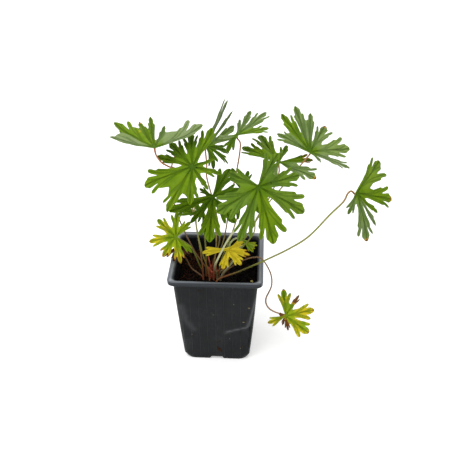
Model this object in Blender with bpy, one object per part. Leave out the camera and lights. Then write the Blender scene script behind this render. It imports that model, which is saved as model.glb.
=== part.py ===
"""Hardy geranium growing in a square nursery pot.

Frame: the origin is the middle of the pot's base on the floor, +Z is up and -Y is the front.
Lengths below are in millimetres and angles in degrees; the meshes are written in metres.
"""
import bpy
import bmesh
import math
import random
from mathutils import Vector
from mathutils.geometry import delaunay_2d_cdt

for old in list(bpy.data.objects):
    bpy.data.objects.remove(old)

MM = 0.001
RANDOM_SEED = 27

# Pot: a tapering square shell with a broad rolled rim
POT_HEIGHT = 103.0
POT_RIM_HALF = 45.0
POT_BODY_TOP_HALF = 40.2
POT_BASE_HALF = 32.4
POT_WALL = 1.1
POT_FLOOR = 1.4
RIM_DEPTH = 5.2
RIM_ROUND = 0.9
RIM_CORNER = 6.0
BODY_CORNER = 5.0
FOOT_CORNER = 11.0
FOOT_HEIGHT = 5.5
FOOT_NOTCH_WIDTH = 13.0
FOOT_NOTCH_HEIGHT = 2.4
FOOT_NOTCH_DEPTH = 4.5
DRAIN_RADIUS = 3.0
DRAIN_OFFSET = 17.0
DRAIN_SIDES = 12
CUTTER_MARGIN = 2.0
CORNER_STEPS = 4

# Soil: a loose block with a plain hole for the crown and one for each stem
SOIL_GAP = 0.35
SOIL_TOP = 81.0
SOIL_LUMP = 1.3
SOIL_LIFT_BACK = 5.0
SOIL_LIFT_RUN = 60.0
SOIL_FLAT_RADIUS = 13.0
SOIL_EASE = 12.0
SOIL_EDGE_DROP = 2.0
SOIL_GRID = 9
SOIL_GRID_REACH = 0.9
SOIL_JITTER = 1.5
SOIL_CLEAR = 1.5
HOLE_DEPTH = 6.0
STEM_HOLE_RADIUS = 1.5
STEM_HOLE_SIDES = 6
CROWN_HOLE_SIDES = 10
CROWN_CENTRE = (-5.0, -4.0)
CROWN_RADIUS = 3.6
CROWN_HEIGHT = 9.0
CROWN_HOLE_RADIUS = 4.4
CROWN_SIDES = 9
CROWN_FOOT = 0.6
CROWN_PROFILE = ((0.0, 0.95), (0.3, 1.0), (0.6, 0.9), (0.85, 0.68), (1.0, 0.35))
CROWN_KNOBS = (-0.12, 0.06)
BEAD_RADIUS = 1.5
BEAD_SPOT = (34.0, -13.0)
BEAD_DIP = 1.1

# Blades and stems
BLADE_THICKNESS = 0.62
STEM_ROOT_RADIUS = 0.95
STEM_TIP_RADIUS = 0.75
STEM_SIDES = 6
STEM_GAP = 0.35
STEM_NECK = 2.2
STEM_FOOT_GAP = 0.5
STEM_SPACING = 7.0
MIDRIB_STATIONS = (0.2, 0.4, 0.6, 0.8)
OPEN_SINUS = 62.0
HUB_REACH = 2.2
OPEN_SINUS_POINTS = (0.32, 0.68)
SECTOR_FILL = 0.94
CLEFT_EASE = 1.5
FOLD_RANGE = (0.10, 0.28)
BEND_START = 0.12
BEND_RUN = 0.4

# One side of a leaf division: distance from the hub as a share of the length, and bearing from
# the midrib as a share of the lobule's spread
FULL_DIVISION = (
    (0.32, 1.00), (0.47, 0.98), (0.60, 1.04), (0.70, 1.10), (0.74, 0.94), (0.82, 1.02),
    (0.90, 0.98), (0.885, 0.78), (0.71, 0.37), (0.83, 0.42), (0.90, 0.47), (0.945, 0.31),
    (1.00, 0.11),
)
SMALL_DIVISION = (
    (0.32, 0.95), (0.52, 0.98), (0.70, 1.10), (0.88, 1.00), (0.87, 0.76), (0.70, 0.42),
    (0.87, 0.46), (1.00, 0.13),
)
WIDEST_SHARE = 1.10
SMALL_BELOW = 27.0

GREEN = (0.105, 0.215, 0.035)
DEEP_GREEN = (0.065, 0.150, 0.028)
YELLOW_GREEN = (0.30, 0.34, 0.04)
YELLOW = (0.52, 0.42, 0.05)
RUSSET = (0.16, 0.055, 0.025)
RED_STEM = (0.30, 0.105, 0.065)
OLIVE_STEM = (0.25, 0.23, 0.075)
PALE_STEM = (0.50, 0.46, 0.27)
BROWN_STEM = (0.22, 0.12, 0.045)

# Each blade: hub, lean of its face and the bearing it leans to, colour, then its divisions as
# (bearing in the leaf, length, rise of the tip as a share of the length, twist, spread of the
# lobule on its clockwise side and on its other side, and the distance from the hub to the cleft
# after it as a share of the shorter neighbour).
# Bearings run from +X towards +Y; -90 is towards the front.
BLADES = {
    "01": ((-47, -46, 240), 6, -90, GREEN, (
        (171, 38, 0.15, 0, 11, 6, 0.30), (143, 48, 0.12, 0, 15, 6, 0.85),
        (116, 41, 0.10, 0, 5, 6, 0.70), (102, 44, 0.10, 20, 5, 5, 0.65),
        (80, 29, 0.14, 0, 6, 6, 0.35), (32, 45, 0.18, 0, 8, 20, 0.75))),
    "02": ((-16, -48, 224), 36, -115, GREEN, (
        (-18, 26, -0.10, 0, 14, 6, 0.45), (-57, 26, -0.12, 0, 6, 6, 0.40),
        (-93, 33, -0.15, 0, 7, 16, 0.45), (-120, 43, -0.10, 0, 10, 8, 0.75),
        (-166, 45, -0.08, 0, 17, 18, 0.60), (155, 37, -0.05, 0, 5, 5, 0.25),
        (130, 35, -0.05, 0, 11, 10, 0.55), (96, 33, 0.00, 0, 10, 12, 0.38),
        (66, 39, 0.00, 0, 6, 15, 0.50), (16, 20, 0.00, 0, 8, 6, 0.25))),
    "03": ((-9, 8, 216), 30, -30, DEEP_GREEN, (
        (79, 54, 0.30, 78, 8, 10, 0.20), (69, 47, 0.30, 78, 9, 8, 0.40),
        (58, 44, 0.10, 20, 14, 10, 0.40), (24, 27, -0.20, 0, 16, 16, 0.35),
        (-8, 25, -0.30, 0, 14, 14, 0.35), (-55, 20, -0.35, 30, 16, 16, 0.30))),
    "04": ((18, 26, 220), 6, -90, GREEN, (
        (86, 26, 0.10, 10, 5, 6, 0.30), (74, 41, 0.10, 0, 5, 5, 0.60),
        (57, 48, 0.05, 0, 11, 9, 0.44), (26, 32, 0.00, 0, 20, 14, 0.60),
        (-113, 22, -0.30, 0, 16, 16, 0.30), (-150, 20, 0.10, 0, 16, 16, 0.40))),
    "05": ((85, 14, 210), 27, -90, GREEN, (
        (147, 36, 0.05, 0, 9, 14, 0.30), (121, 51, 0.00, 0, 13, 7, 0.75),
        (104, 56, 0.00, 0, 5, 5, 0.44), (90, 45, 0.00, 10, 5, 5, 0.75),
        (65, 33, 0.05, 0, 20, 12, 0.35), (7, 36, 0.00, 0, 18, 22, 0.38),
        (-27, 39, 0.00, -42, 9, 9, 0.45), (-50, 15, -0.10, -42, 10, 9, 0.40))),
    "06": ((57, 16, 198), 10, -90, GREEN, (
        (146, 42, 0.00, 0, 12, 15, 0.30), (113, 46, 0.00, 0, 12, 16, 0.55),
        (74, 28, 0.00, 0, 8, 13, 0.45), (10, 32, 0.00, 0, 10, 14, 0.30),
        (-37, 41, 0.00, 0, 16, 16, 0.50), (-111, 29, -0.10, 0, 16, 16, 0.30))),
    "07": ((39, -62, 214), 52, -76, GREEN, (
        (61, 33, -0.05, 0, 9, 19, 0.30), (19, 37, -0.10, 0, 15, 15, 0.48),
        (-25, 44, -0.12, 0, 15, 18, 0.28), (-72, 48, -0.15, 0, 15, 18, 0.25),
        (-108, 47, -0.15, 0, 9, 12, 0.30), (-146, 40, -0.12, 0, 18, 18, 0.44),
        (157, 27, -0.05, 0, 16, 14, 0.55))),
    "08": ((-1, -32, 187), 44, -85, DEEP_GREEN, (
        (62, 31, -0.05, 0, 16, 18, 0.30), (20, 26, -0.10, 0, 16, 14, 0.35),
        (-47, 30, -0.15, 0, 18, 18, 0.30), (-92, 40, -0.12, 0, 16, 16, 0.30),
        (-128, 30, -0.10, 0, 10, 12, 0.35), (-160, 40, -0.10, 0, 14, 12, 0.35),
        (149, 14, 0.00, 0, 14, 14, 0.40))),
    "09": ((-39, -6, 128), 46, -105, YELLOW_GREEN, (
        (91, 26, -0.05, 0, 10, 15, 0.36), (48, 20, -0.05, 0, 16, 16, 0.45),
        (138, 27, -0.08, 0, 12, 14, 0.35), (-173, 28, -0.10, 0, 14, 16, 0.38),
        (-125, 23, -0.12, 0, 15, 15, 0.42), (-78, 26, -0.12, 0, 12, 12, 0.45),
        (-43, 22, -0.10, 0, 9, 10, 0.50))),
    "10": ((-39, 2, 110), 20, -90, RUSSET, (
        (-147, 17, -0.10, 0, 17, 17, 0.30), (-100, 15, -0.10, 0, 16, 16, 0.30),
        (-27, 14, -0.10, 0, 18, 18, 0.30))),
    "11": ((11, -20, 124), 30, -90, YELLOW, (
        (-174, 24, -0.10, 0, 14, 14, 0.30), (-102, 20, -0.10, 0, 11, 16, 0.35),
        (-48, 20, -0.10, 0, 15, 17, 0.45), (-12, 22, -0.10, 0, 11, 13, 0.60),
        (30, 17, 0.00, 0, 12, 16, 0.45))),
    "12": ((26, 16, 110), 20, -60, YELLOW_GREEN, (
        (152, 9, 0.00, 0, 20, 20, 0.30), (-14, 13, 0.00, 0, 18, 18, 0.30),
        (-56, 15, 0.00, 0, 16, 18, 0.30))),
    "13": ((68, -22, 49), 70, -80, YELLOW_GREEN, (
        (95, 26, -0.05, 0, 13, 12, 0.30), (64, 23, -0.05, 0, 9, 7, 0.50),
        (10, 28, -0.05, 0, 17, 17, 0.35), (-38, 30, -0.10, 0, 19, 14, 0.30),
        (-78, 13, -0.10, 0, 10, 10, 0.60), (-158, 17, -0.05, 0, 16, 18, 0.30))),
    "14": ((125, -22, 188), 52, -50, GREEN, (
        (53, 44, 0.00, 0, 19, 13, 0.30), (2, 41, -0.05, 0, 14, 17, 0.38),
        (-32, 27, -0.05, 0, 7, 7, 0.34), (-50, 34, -0.05, -46, 6, 6, 0.50),
        (-68, 43, -0.15, 0, 17, 7, 0.35), (-113, 22, -0.10, 0, 16, 13, 0.45))),
    "15": ((25, -14, 182), 35, -90, DEEP_GREEN, (
        (114, 27, 0.00, 0, 13, 15, 0.30), (80, 23, 0.00, 0, 13, 13, 0.35),
        (177, 16, 0.00, 0, 16, 16, 0.35), (-113, 30, -0.10, 0, 16, 16, 0.30),
        (-49, 26, -0.10, 0, 16, 16, 0.30))),
    "16": ((-13, 2, 149), 35, -110, DEEP_GREEN, (
        (166, 27, 0.00, 0, 13, 16, 0.30), (128, 22, 0.00, 0, 13, 14, 0.35),
        (-79, 25, -0.10, 0, 16, 16, 0.30))),
}

# Each stem: bearing and distance of its foot from the crown's centre, colour, then the points
# it passes through on its way up to the hub of the blade with the same number.
STEMS = {
    "01": (-150, 10.0, RED_STEM, (
        (-17, -9, 127), (-23, -13, 173), (-31, -28, 209), (-37, -42, 221), (-42, -45, 226),
        (-46, -45, 232))),
    "02": (-112, 6.4, OLIVE_STEM, (
        (-14, -11, 115), (-18, -13, 140), (-18, -19, 158), (-18, -34, 192))),
    "03": (104, 6.4, RED_STEM, ((2, 1, 121), (-1, 2, 152), (-9, 5, 186), (-9, 6, 199))),
    "04": (68, 6.4, RED_STEM, ((7, 6, 124), (12, 14, 158), (18, 22, 187), (21, 26, 210))),
    "05": (18, 10.0, OLIVE_STEM, (
        (12, -1, 96), (24, 1, 113), (35, 3, 129), (38, 4, 146), (58, 8, 173), (76, 11, 197))),
    "06": (32, 6.4, OLIVE_STEM, ((15, 3, 103), (33, 9, 131), (50, 14, 164), (57, 16, 186))),
    "07": (-40, 6.4, PALE_STEM, ((-1, -22, 105), (4, -38, 128), (16, -43, 156), (34, -54, 187))),
    "08": (-76, 6.4, RED_STEM, ((-2, -11, 106), (0, -12, 129), (-1, -22, 163))),
    "09": (164, 10.0, OLIVE_STEM, ((-18, -3, 95), (-24, -3, 112), (-29, -5, 120))),
    "10": (-172, 10.0, BROWN_STEM, ((-26, 1, 87), (-32, 4, 97))),
    "11": (-34, 10.0, PALE_STEM, (
        (15, -13, 105), (22, -10, 122), (20, -9, 130), (14, -12, 128))),
    "12": (44, 10.0, PALE_STEM, ((10, 4, 89), (18, 12, 99))),
    "13": (-10, 10.0, BROWN_STEM, (
        (12, -6, 93), (27, -8, 105), (39, -12, 111), (45, -15, 109), (52, -19, 97),
        (53, -21, 84), (48, -23, 70), (50, -24, 61), (57, -24, 55))),
    "14": (-62, 10.0, OLIVE_STEM, (
        (22, -15, 96), (46, -23, 115), (69, -24, 130), (86, -24, 144), (103, -23, 166),
        (114, -22, 179), (117, -22, 187), (120, -22, 190))),
    "15": (-4, 6.4, OLIVE_STEM, ((4, -6, 102), (12, -9, 127), (21, -13, 160))),
    "16": (176, 6.4, OLIVE_STEM, ((-11, -3, 105), (-12, 0, 128))),
    "17": (140, 6.4, BROWN_STEM, (
        (-24, 6, 106), (-39, 14, 140), (-45, 18, 174), (-42, 19, 195), (-34, 20, 213))),
}


def smooth_step(t):
    """Ease from 0 to 1 over the unit range."""
    t = min(max(t, 0.0), 1.0)
    return t * t * (3.0 - 2.0 * t)


def turn(angle):
    """The same bearing between -180 and 180 degrees."""
    return (angle + 180.0) % 360.0 - 180.0


def make_material(name, colour, roughness):
    """A plain coloured surface."""
    material = bpy.data.materials.new(name)
    material.use_nodes = True
    shader = material.node_tree.nodes["Principled BSDF"]
    shader.inputs["Base Color"].default_value = (*colour, 1.0)
    shader.inputs["Roughness"].default_value = roughness
    shader.inputs["Metallic"].default_value = 0.0
    material.diffuse_color = (*colour, 1.0)
    return material


def add_object(name, mesh_data, material, origin=(0.0, 0.0, 0.0), smooth=False):
    """Turn a bmesh in millimetres into an object in metres with the given origin."""
    base = Vector(origin)
    bmesh.ops.recalc_face_normals(mesh_data, faces=mesh_data.faces)
    for vert in mesh_data.verts:
        vert.co = (vert.co - base) * MM
    mesh = bpy.data.meshes.new(name)
    mesh_data.to_mesh(mesh)
    mesh_data.free()
    for polygon in mesh.polygons:
        polygon.use_smooth = smooth
    mesh.materials.append(material)
    thing = bpy.data.objects.new(name, mesh)
    thing.location = base * MM
    bpy.context.collection.objects.link(thing)
    return thing


def rounded_square(half, corner, z):
    """Points of a square with rounded corners, anticlockwise from the right-hand front corner."""
    corner = min(corner, half)
    points = []
    for quarter in range(4):
        start = -90.0 + 90.0 * quarter
        sign_x = (1, 1, -1, -1)[quarter]
        sign_y = (-1, 1, 1, -1)[quarter]
        centre_x = sign_x * (half - corner)
        centre_y = sign_y * (half - corner)
        for step in range(CORNER_STEPS + 1):
            angle = math.radians(start + 90.0 * step / CORNER_STEPS)
            points.append(Vector((centre_x + corner * math.cos(angle),
                                  centre_y + corner * math.sin(angle), z)))
    return points


def loft(mesh_data, rings):
    """Join rings of equal length with quads and close the two ends."""
    loops = [[mesh_data.verts.new(point) for point in ring] for ring in rings]
    count = len(loops[0])
    for lower, upper in zip(loops, loops[1:]):
        for i in range(count):
            j = (i + 1) % count
            mesh_data.faces.new((lower[i], lower[j], upper[j], upper[i]))
    mesh_data.faces.new(list(reversed(loops[0])))
    mesh_data.faces.new(loops[-1])


def body_half(z):
    """Half width of the pot's outer wall at height z."""
    share = z / (POT_HEIGHT - RIM_DEPTH)
    return POT_BASE_HALF + (POT_BODY_TOP_HALF - POT_BASE_HALF) * share


def cut(target, name, mesh_data):
    """Subtract a closed shape from the target and drop the cutter."""
    cutter = add_object(name, mesh_data, target.data.materials[0])
    cutter.hide_render = True
    cutter.display_type = "WIRE"
    modifier = target.modifiers.new(name, "BOOLEAN")
    modifier.operation = "DIFFERENCE"
    modifier.solver = "EXACT"
    modifier.object = cutter
    bpy.context.view_layer.update()
    graph = bpy.context.evaluated_depsgraph_get()
    result = bpy.data.meshes.new_from_object(target.evaluated_get(graph))
    target.modifiers.remove(modifier)
    target.data = result
    bpy.data.objects.remove(cutter)


def box(low, high):
    """An axis-aligned block as a bmesh."""
    mesh_data = bmesh.new()
    bmesh.ops.create_cube(mesh_data, size=1.0)
    for vert in mesh_data.verts:
        vert.co = Vector([
            low[i] + (vert.co[i] + 0.5) * (high[i] - low[i]) for i in range(3)])
    return mesh_data


def make_pot(material):
    """Tapering shell, rolled rim, cut-back bottom corners, foot notches and drain holes."""
    top = POT_HEIGHT
    under_rim = top - RIM_DEPTH
    inner_top = POT_BODY_TOP_HALF - POT_WALL
    shell = bmesh.new()
    loft(shell, [
        rounded_square(POT_BASE_HALF, FOOT_CORNER, 0.0),
        rounded_square(body_half(FOOT_HEIGHT), BODY_CORNER, FOOT_HEIGHT),
        rounded_square(POT_BODY_TOP_HALF, BODY_CORNER, under_rim),
        rounded_square(POT_RIM_HALF - RIM_ROUND, RIM_CORNER, under_rim),
        rounded_square(POT_RIM_HALF, RIM_CORNER, under_rim + RIM_ROUND),
        rounded_square(POT_RIM_HALF, RIM_CORNER, top - RIM_ROUND),
        rounded_square(POT_RIM_HALF - RIM_ROUND, RIM_CORNER, top),
        rounded_square(inner_top, BODY_CORNER, top),
        rounded_square(inner_top, BODY_CORNER, under_rim),
        rounded_square(body_half(FOOT_HEIGHT) - POT_WALL, BODY_CORNER, FOOT_HEIGHT),
        rounded_square(body_half(POT_FLOOR) - POT_WALL, FOOT_CORNER, POT_FLOOR),
    ])
    pot = add_object("pot", shell, material)
    reach = POT_BASE_HALF + CUTTER_MARGIN
    inside = POT_BASE_HALF - FOOT_NOTCH_DEPTH
    wide = FOOT_NOTCH_WIDTH / 2.0
    for index, (low, high) in enumerate((
            ((-wide, -reach), (wide, -inside)),
            ((-wide, inside), (wide, reach)),
            ((-reach, -wide), (-inside, wide)),
            ((inside, -wide), (reach, wide)))):
        cut(pot, f"foot_notch_{index}",
            box((*low, -CUTTER_MARGIN), (*high, FOOT_NOTCH_HEIGHT)))
    for index, (side_x, side_y) in enumerate(((1, 1), (-1, 1), (-1, -1), (1, -1))):
        drill = bmesh.new()
        bmesh.ops.create_cone(drill, cap_ends=True, segments=DRAIN_SIDES, radius1=DRAIN_RADIUS,
                              radius2=DRAIN_RADIUS, depth=2.0 * (POT_FLOOR + CUTTER_MARGIN))
        for vert in drill.verts:
            vert.co += Vector((side_x * DRAIN_OFFSET, side_y * DRAIN_OFFSET, 0.0))
        cut(pot, f"drain_{index}", drill)
    return pot


def foot_point(bearing, distance):
    """Where a stem stands on the soil."""
    angle = math.radians(bearing)
    return (CROWN_CENTRE[0] + distance * math.cos(angle),
            CROWN_CENTRE[1] + distance * math.sin(angle))


def soil_level(x, y):
    """Lumpy height of the soil, a little higher towards the back and the left."""
    away = math.hypot(x - CROWN_CENTRE[0], y - CROWN_CENTRE[1])
    lift = SOIL_LIFT_BACK * smooth_step((y - 0.5 * x) / SOIL_LIFT_RUN)
    lumps = (math.sin(0.31 * x + 1.3) * math.cos(0.27 * y - 0.6)
             + 0.6 * math.sin(0.63 * x - 0.4 * y))
    share = smooth_step((away - SOIL_FLAT_RADIUS) / SOIL_EASE)
    return SOIL_TOP + (lift + SOIL_LUMP * lumps) * share


def make_soil(material, holes):
    """Block of soil filling the pot, with plain holes (x, y, radius, sides)."""
    lower = body_half(POT_FLOOR) - POT_WALL - SOIL_GAP
    ring_low = rounded_square(lower, FOOT_CORNER, POT_FLOOR + SOIL_GAP)
    ring_mid = rounded_square(body_half(FOOT_HEIGHT) - POT_WALL - SOIL_GAP, BODY_CORNER,
                              FOOT_HEIGHT + SOIL_GAP)
    edge = body_half(SOIL_TOP - SOIL_EDGE_DROP) - POT_WALL - SOIL_GAP
    ring_top = rounded_square(edge, BODY_CORNER, SOIL_TOP)
    points = [Vector((p.x, p.y)) for p in ring_top]
    outer_count = len(points)
    hole_loops = []
    for (x, y, radius, sides) in holes:
        loop = []
        for i in range(sides):
            angle = 2.0 * math.pi * i / sides
            loop.append(len(points))
            points.append(Vector((x + radius * math.cos(angle), y + radius * math.sin(angle))))
        hole_loops.append(loop)
    rng = random.Random(RANDOM_SEED)
    reach = edge * SOIL_GRID_REACH
    spacing = 2.0 * reach / (SOIL_GRID - 1)
    for i in range(SOIL_GRID):
        for j in range(SOIL_GRID):
            x = spacing * i - reach + rng.uniform(-SOIL_JITTER, SOIL_JITTER)
            y = spacing * j - reach + rng.uniform(-SOIL_JITTER, SOIL_JITTER)
            clear = all(math.hypot(x - h[0], y - h[1]) > h[2] + SOIL_CLEAR for h in holes)
            if clear:
                points.append(Vector((x, y)))
    edges = [(i, (i + 1) % outer_count) for i in range(outer_count)]
    for loop in hole_loops:
        edges += [(loop[i], loop[(i + 1) % len(loop)]) for i in range(len(loop))]
    flat, _, triangles, origins, _, _ = delaunay_2d_cdt(points, edges, [], 0, 1e-5)
    index_of = {}
    for new, old in enumerate(origins):
        for k in old:
            index_of[k] = new
    mesh_data = bmesh.new()
    verts = [mesh_data.verts.new((p.x, p.y, soil_level(p.x, p.y))) for p in flat]
    inside_hole = [{index_of[k] for k in loop} for loop in hole_loops]
    for triangle in triangles:
        if any(set(triangle) <= loop for loop in inside_hole):
            continue
        mesh_data.faces.new([verts[i] for i in triangle])
    for loop in hole_loops:
        top = [verts[index_of[k]] for k in loop]
        low = [mesh_data.verts.new((v.co.x, v.co.y, SOIL_TOP - HOLE_DEPTH)) for v in top]
        for i in range(len(top)):
            j = (i + 1) % len(top)
            mesh_data.faces.new((top[i], top[j], low[j], low[i]))
        mesh_data.faces.new(low)
    rim = [verts[index_of[i]] for i in range(outer_count)]
    mid = [mesh_data.verts.new(p) for p in ring_mid]
    bottom = [mesh_data.verts.new(p) for p in ring_low]
    for upper, under in ((rim, mid), (mid, bottom)):
        for i in range(outer_count):
            j = (i + 1) % outer_count
            mesh_data.faces.new((upper[i], upper[j], under[j], under[i]))
    mesh_data.faces.new(bottom)
    return add_object("soil", mesh_data, material)


def make_crown(material):
    """Knobbly rootstock the stems rise from."""
    rng = random.Random(RANDOM_SEED + 1)
    rings = []
    levels = [(CROWN_FOOT - HOLE_DEPTH, 0.75)]
    levels += [(share * CROWN_HEIGHT, width) for share, width in CROWN_PROFILE]
    for rise, width in levels:
        z = SOIL_TOP + rise
        ring = []
        for i in range(CROWN_SIDES):
            angle = 2.0 * math.pi * i / CROWN_SIDES
            radius = CROWN_RADIUS * width * (1.0 + rng.uniform(*CROWN_KNOBS))
            ring.append(Vector((CROWN_CENTRE[0] + radius * math.cos(angle),
                                CROWN_CENTRE[1] + radius * math.sin(angle), z)))
        rings.append(ring)
    mesh_data = bmesh.new()
    loft(mesh_data, rings)
    return add_object("crown", mesh_data, material, (*CROWN_CENTRE, SOIL_TOP), True)


def make_bead(material):
    """Grain of slow-release feed lying on the soil."""
    x, y = BEAD_SPOT
    z = soil_level(x, y) - BEAD_DIP + BEAD_RADIUS + SOIL_GAP
    mesh_data = bmesh.new()
    bmesh.ops.create_icosphere(mesh_data, subdivisions=1, radius=BEAD_RADIUS)
    for vert in mesh_data.verts:
        vert.co += Vector((x, y, z))
    return add_object("feed_bead", mesh_data, material, (x, y, z), True)


def leaf_frame(lean, towards):
    """Axes of a blade: across, up the blade, and out of its upper face."""
    lean = math.radians(lean)
    towards = math.radians(towards)
    normal = Vector((math.sin(lean) * math.cos(towards), math.sin(lean) * math.sin(towards),
                     math.cos(lean)))
    across = Vector((1.0, 0.0, 0.0))
    across = (across - normal * across.dot(normal)).normalized()
    return across, normal.cross(across), normal


def flat_point(bearing, radius):
    """Point of the flat blade at a bearing and a distance from its hub."""
    angle = math.radians(bearing)
    return Vector((radius * math.cos(angle), radius * math.sin(angle)))


def division_side(heading, length, spread, cleft):
    """One side of a division, from the cleft beside it to its tip."""
    shape = SMALL_DIVISION if length < SMALL_BELOW else FULL_DIVISION
    points = []
    for reach, part in shape:
        if points or length * reach > cleft + CLEFT_EASE:
            points.append(flat_point(heading + spread * part, length * reach))
    return points


def blade_outline(divisions):
    """Closed flat outline of a palmate blade and the points along its midribs."""
    order = sorted(divisions, key=lambda item: item[0] % 360.0)
    count = len(order)
    gaps = []
    squeezes = []
    clefts = []
    for i in range(count):
        follower = order[(i + 1) % count]
        gap = (follower[0] - order[i][0]) % 360.0
        widest = (order[i][5] + follower[4]) * WIDEST_SHARE
        gaps.append(gap)
        squeezes.append(min(1.0, gap * SECTOR_FILL / widest))
        shorter = min(order[i][1], follower[1])
        clefts.append(HUB_REACH if gap > OPEN_SINUS else order[i][6] * shorter)
    outline = []
    inner = [Vector((0.0, 0.0))]
    for i, (heading, length, _, _, low, high, _) in enumerate(order):
        follower = order[(i + 1) % count]
        outline += division_side(heading, length, -low * squeezes[i - 1], clefts[i - 1])
        outline += reversed(division_side(heading, length, high * squeezes[i], clefts[i]))
        inner += [flat_point(heading, length * share) for share in MIDRIB_STATIONS]
        parts = (high / (high + follower[4]),)
        if gaps[i] > OPEN_SINUS:
            parts = OPEN_SINUS_POINTS
        outline += [flat_point(heading + gaps[i] * part, clefts[i]) for part in parts]
    return order, outline, inner


def bend(point, order, hub, axes, folds):
    """Lift a flat point onto the bent blade."""
    bearing = math.degrees(math.atan2(point.y, point.x))
    radius = point.length
    best = min(range(len(order)), key=lambda k: abs(turn(bearing - order[k][0])))
    heading, length, rise, twist = order[best][:4]
    offset = math.radians(turn(bearing - heading))
    along = radius * math.cos(offset)
    side = radius * math.sin(offset)
    share = along / length
    ease = smooth_step((share - BEND_START) / BEND_RUN)
    roll = math.radians(twist) * ease
    height = rise * length * share * abs(share)
    height += folds[best] * abs(side) * ease * math.cos(roll) + side * math.sin(roll)
    side *= math.cos(roll)
    angle = math.radians(heading)
    flat_x = along * math.cos(angle) - side * math.sin(angle)
    flat_y = along * math.sin(angle) + side * math.cos(angle)
    return Vector(hub) + axes[0] * flat_x + axes[1] * flat_y + axes[2] * height


def make_blade(number, material):
    """One palmate leaf blade with the same triangles on both faces."""
    hub, lean, towards, _, divisions = BLADES[number]
    rng = random.Random(RANDOM_SEED + int(number))
    order, outline, inner = blade_outline(divisions)
    folds = [rng.uniform(*FOLD_RANGE) for _ in order]
    axes = leaf_frame(lean, towards)
    count = len(outline)
    ring = [(i, (i + 1) % count) for i in range(count)]
    flat, _, triangles, origins, _, _ = delaunay_2d_cdt(outline + inner, ring, [], 1, 1e-5)
    index_of = {}
    for new, old in enumerate(origins):
        for k in old:
            index_of[k] = new
    middle = [bend(p, order, hub, axes, folds) for p in flat]
    normals = [Vector((0.0, 0.0, 0.0)) for _ in middle]
    for a, b, c in triangles:
        face = (middle[b] - middle[a]).cross(middle[c] - middle[a])
        for k in (a, b, c):
            normals[k] += face
    half = BLADE_THICKNESS / 2.0
    mesh_data = bmesh.new()
    top = []
    under = []
    for point, normal in zip(middle, normals):
        step = normal.normalized() * half
        top.append(mesh_data.verts.new(point + step))
        under.append(mesh_data.verts.new(point - step))
    for a, b, c in triangles:
        mesh_data.faces.new((top[a], top[b], top[c]))
        mesh_data.faces.new((under[c], under[b], under[a]))
    rim = [index_of[i] for i in range(count)]
    for i in range(count):
        a = rim[i]
        b = rim[(i + 1) % count]
        mesh_data.faces.new((under[a], under[b], top[b], top[a]))
    bmesh.ops.triangulate(mesh_data, faces=[f for f in mesh_data.faces if len(f.verts) > 3])
    return add_object(f"blade_{number}", mesh_data, material, hub)


def curve_through(points, spacing):
    """Smooth path that starts upright, sampled about every `spacing` millimetres."""
    first, second = points[:2]
    upright = Vector((second.x, second.y, 2.0 * first.z - second.z))
    padded = [upright] + points + [points[-1] * 2.0 - points[-2]]
    path = [points[0]]
    for i in range(1, len(padded) - 2):
        a, b, c, d = padded[i - 1:i + 3]
        steps = max(2, round((c - b).length / spacing))
        for s in range(1, steps + 1):
            t = s / steps
            path.append(0.5 * ((2.0 * b) + (c - a) * t
                               + (2.0 * a - 5.0 * b + 4.0 * c - d) * t * t
                               + (3.0 * b - a - 3.0 * c + d) * t * t * t))
    return path


def tube(mesh_data, path, radii, sides):
    """Closed tube of a few sides along a path, without twisting on the way."""
    direction = (path[1] - path[0]).normalized()
    across = direction.cross(Vector((0.0, 1.0, 0.0))).normalized()
    rings = []
    for i, point in enumerate(path):
        ahead = path[min(i + 1, len(path) - 1)]
        behind = path[max(i - 1, 0)]
        direction = (ahead - behind).normalized()
        across = (across - direction * across.dot(direction)).normalized()
        beside = direction.cross(across)
        rings.append([
            point + (across * math.cos(2.0 * math.pi * k / sides)
                     + beside * math.sin(2.0 * math.pi * k / sides)) * radii[i]
            for k in range(sides)])
    loft(mesh_data, rings)


def stem_path(number):
    """Path of one leaf stalk from its foot in the soil to just under its blade."""
    bearing, distance, _, through = STEMS[number]
    x, y = foot_point(bearing, distance)
    foot = Vector((x, y, SOIL_TOP - HOLE_DEPTH + STEM_FOOT_GAP))
    points = [Vector((x, y, SOIL_TOP + STEM_FOOT_GAP))] + [Vector(p) for p in through]
    if number in BLADES:
        hub, lean, towards, _, _ = BLADES[number]
        normal = leaf_frame(lean, towards)[2]
        clearance = BLADE_THICKNESS / 2.0 + STEM_GAP
        points.append(Vector(hub) - normal * (clearance + STEM_NECK))
        path = [foot] + curve_through(points, STEM_SPACING)
        path.append(Vector(hub) - normal * clearance)
        return path
    return [foot] + curve_through(points, STEM_SPACING)


def make_stem(number, material):
    """One leaf stalk, thickest at its foot."""
    path = stem_path(number)
    last = len(path) - 1
    radii = [STEM_ROOT_RADIUS + (STEM_TIP_RADIUS - STEM_ROOT_RADIUS) * i / last
             for i in range(last + 1)]
    mesh_data = bmesh.new()
    tube(mesh_data, path, radii, STEM_SIDES)
    return add_object(f"stem_{number}", mesh_data, material, path[1], True)


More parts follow.
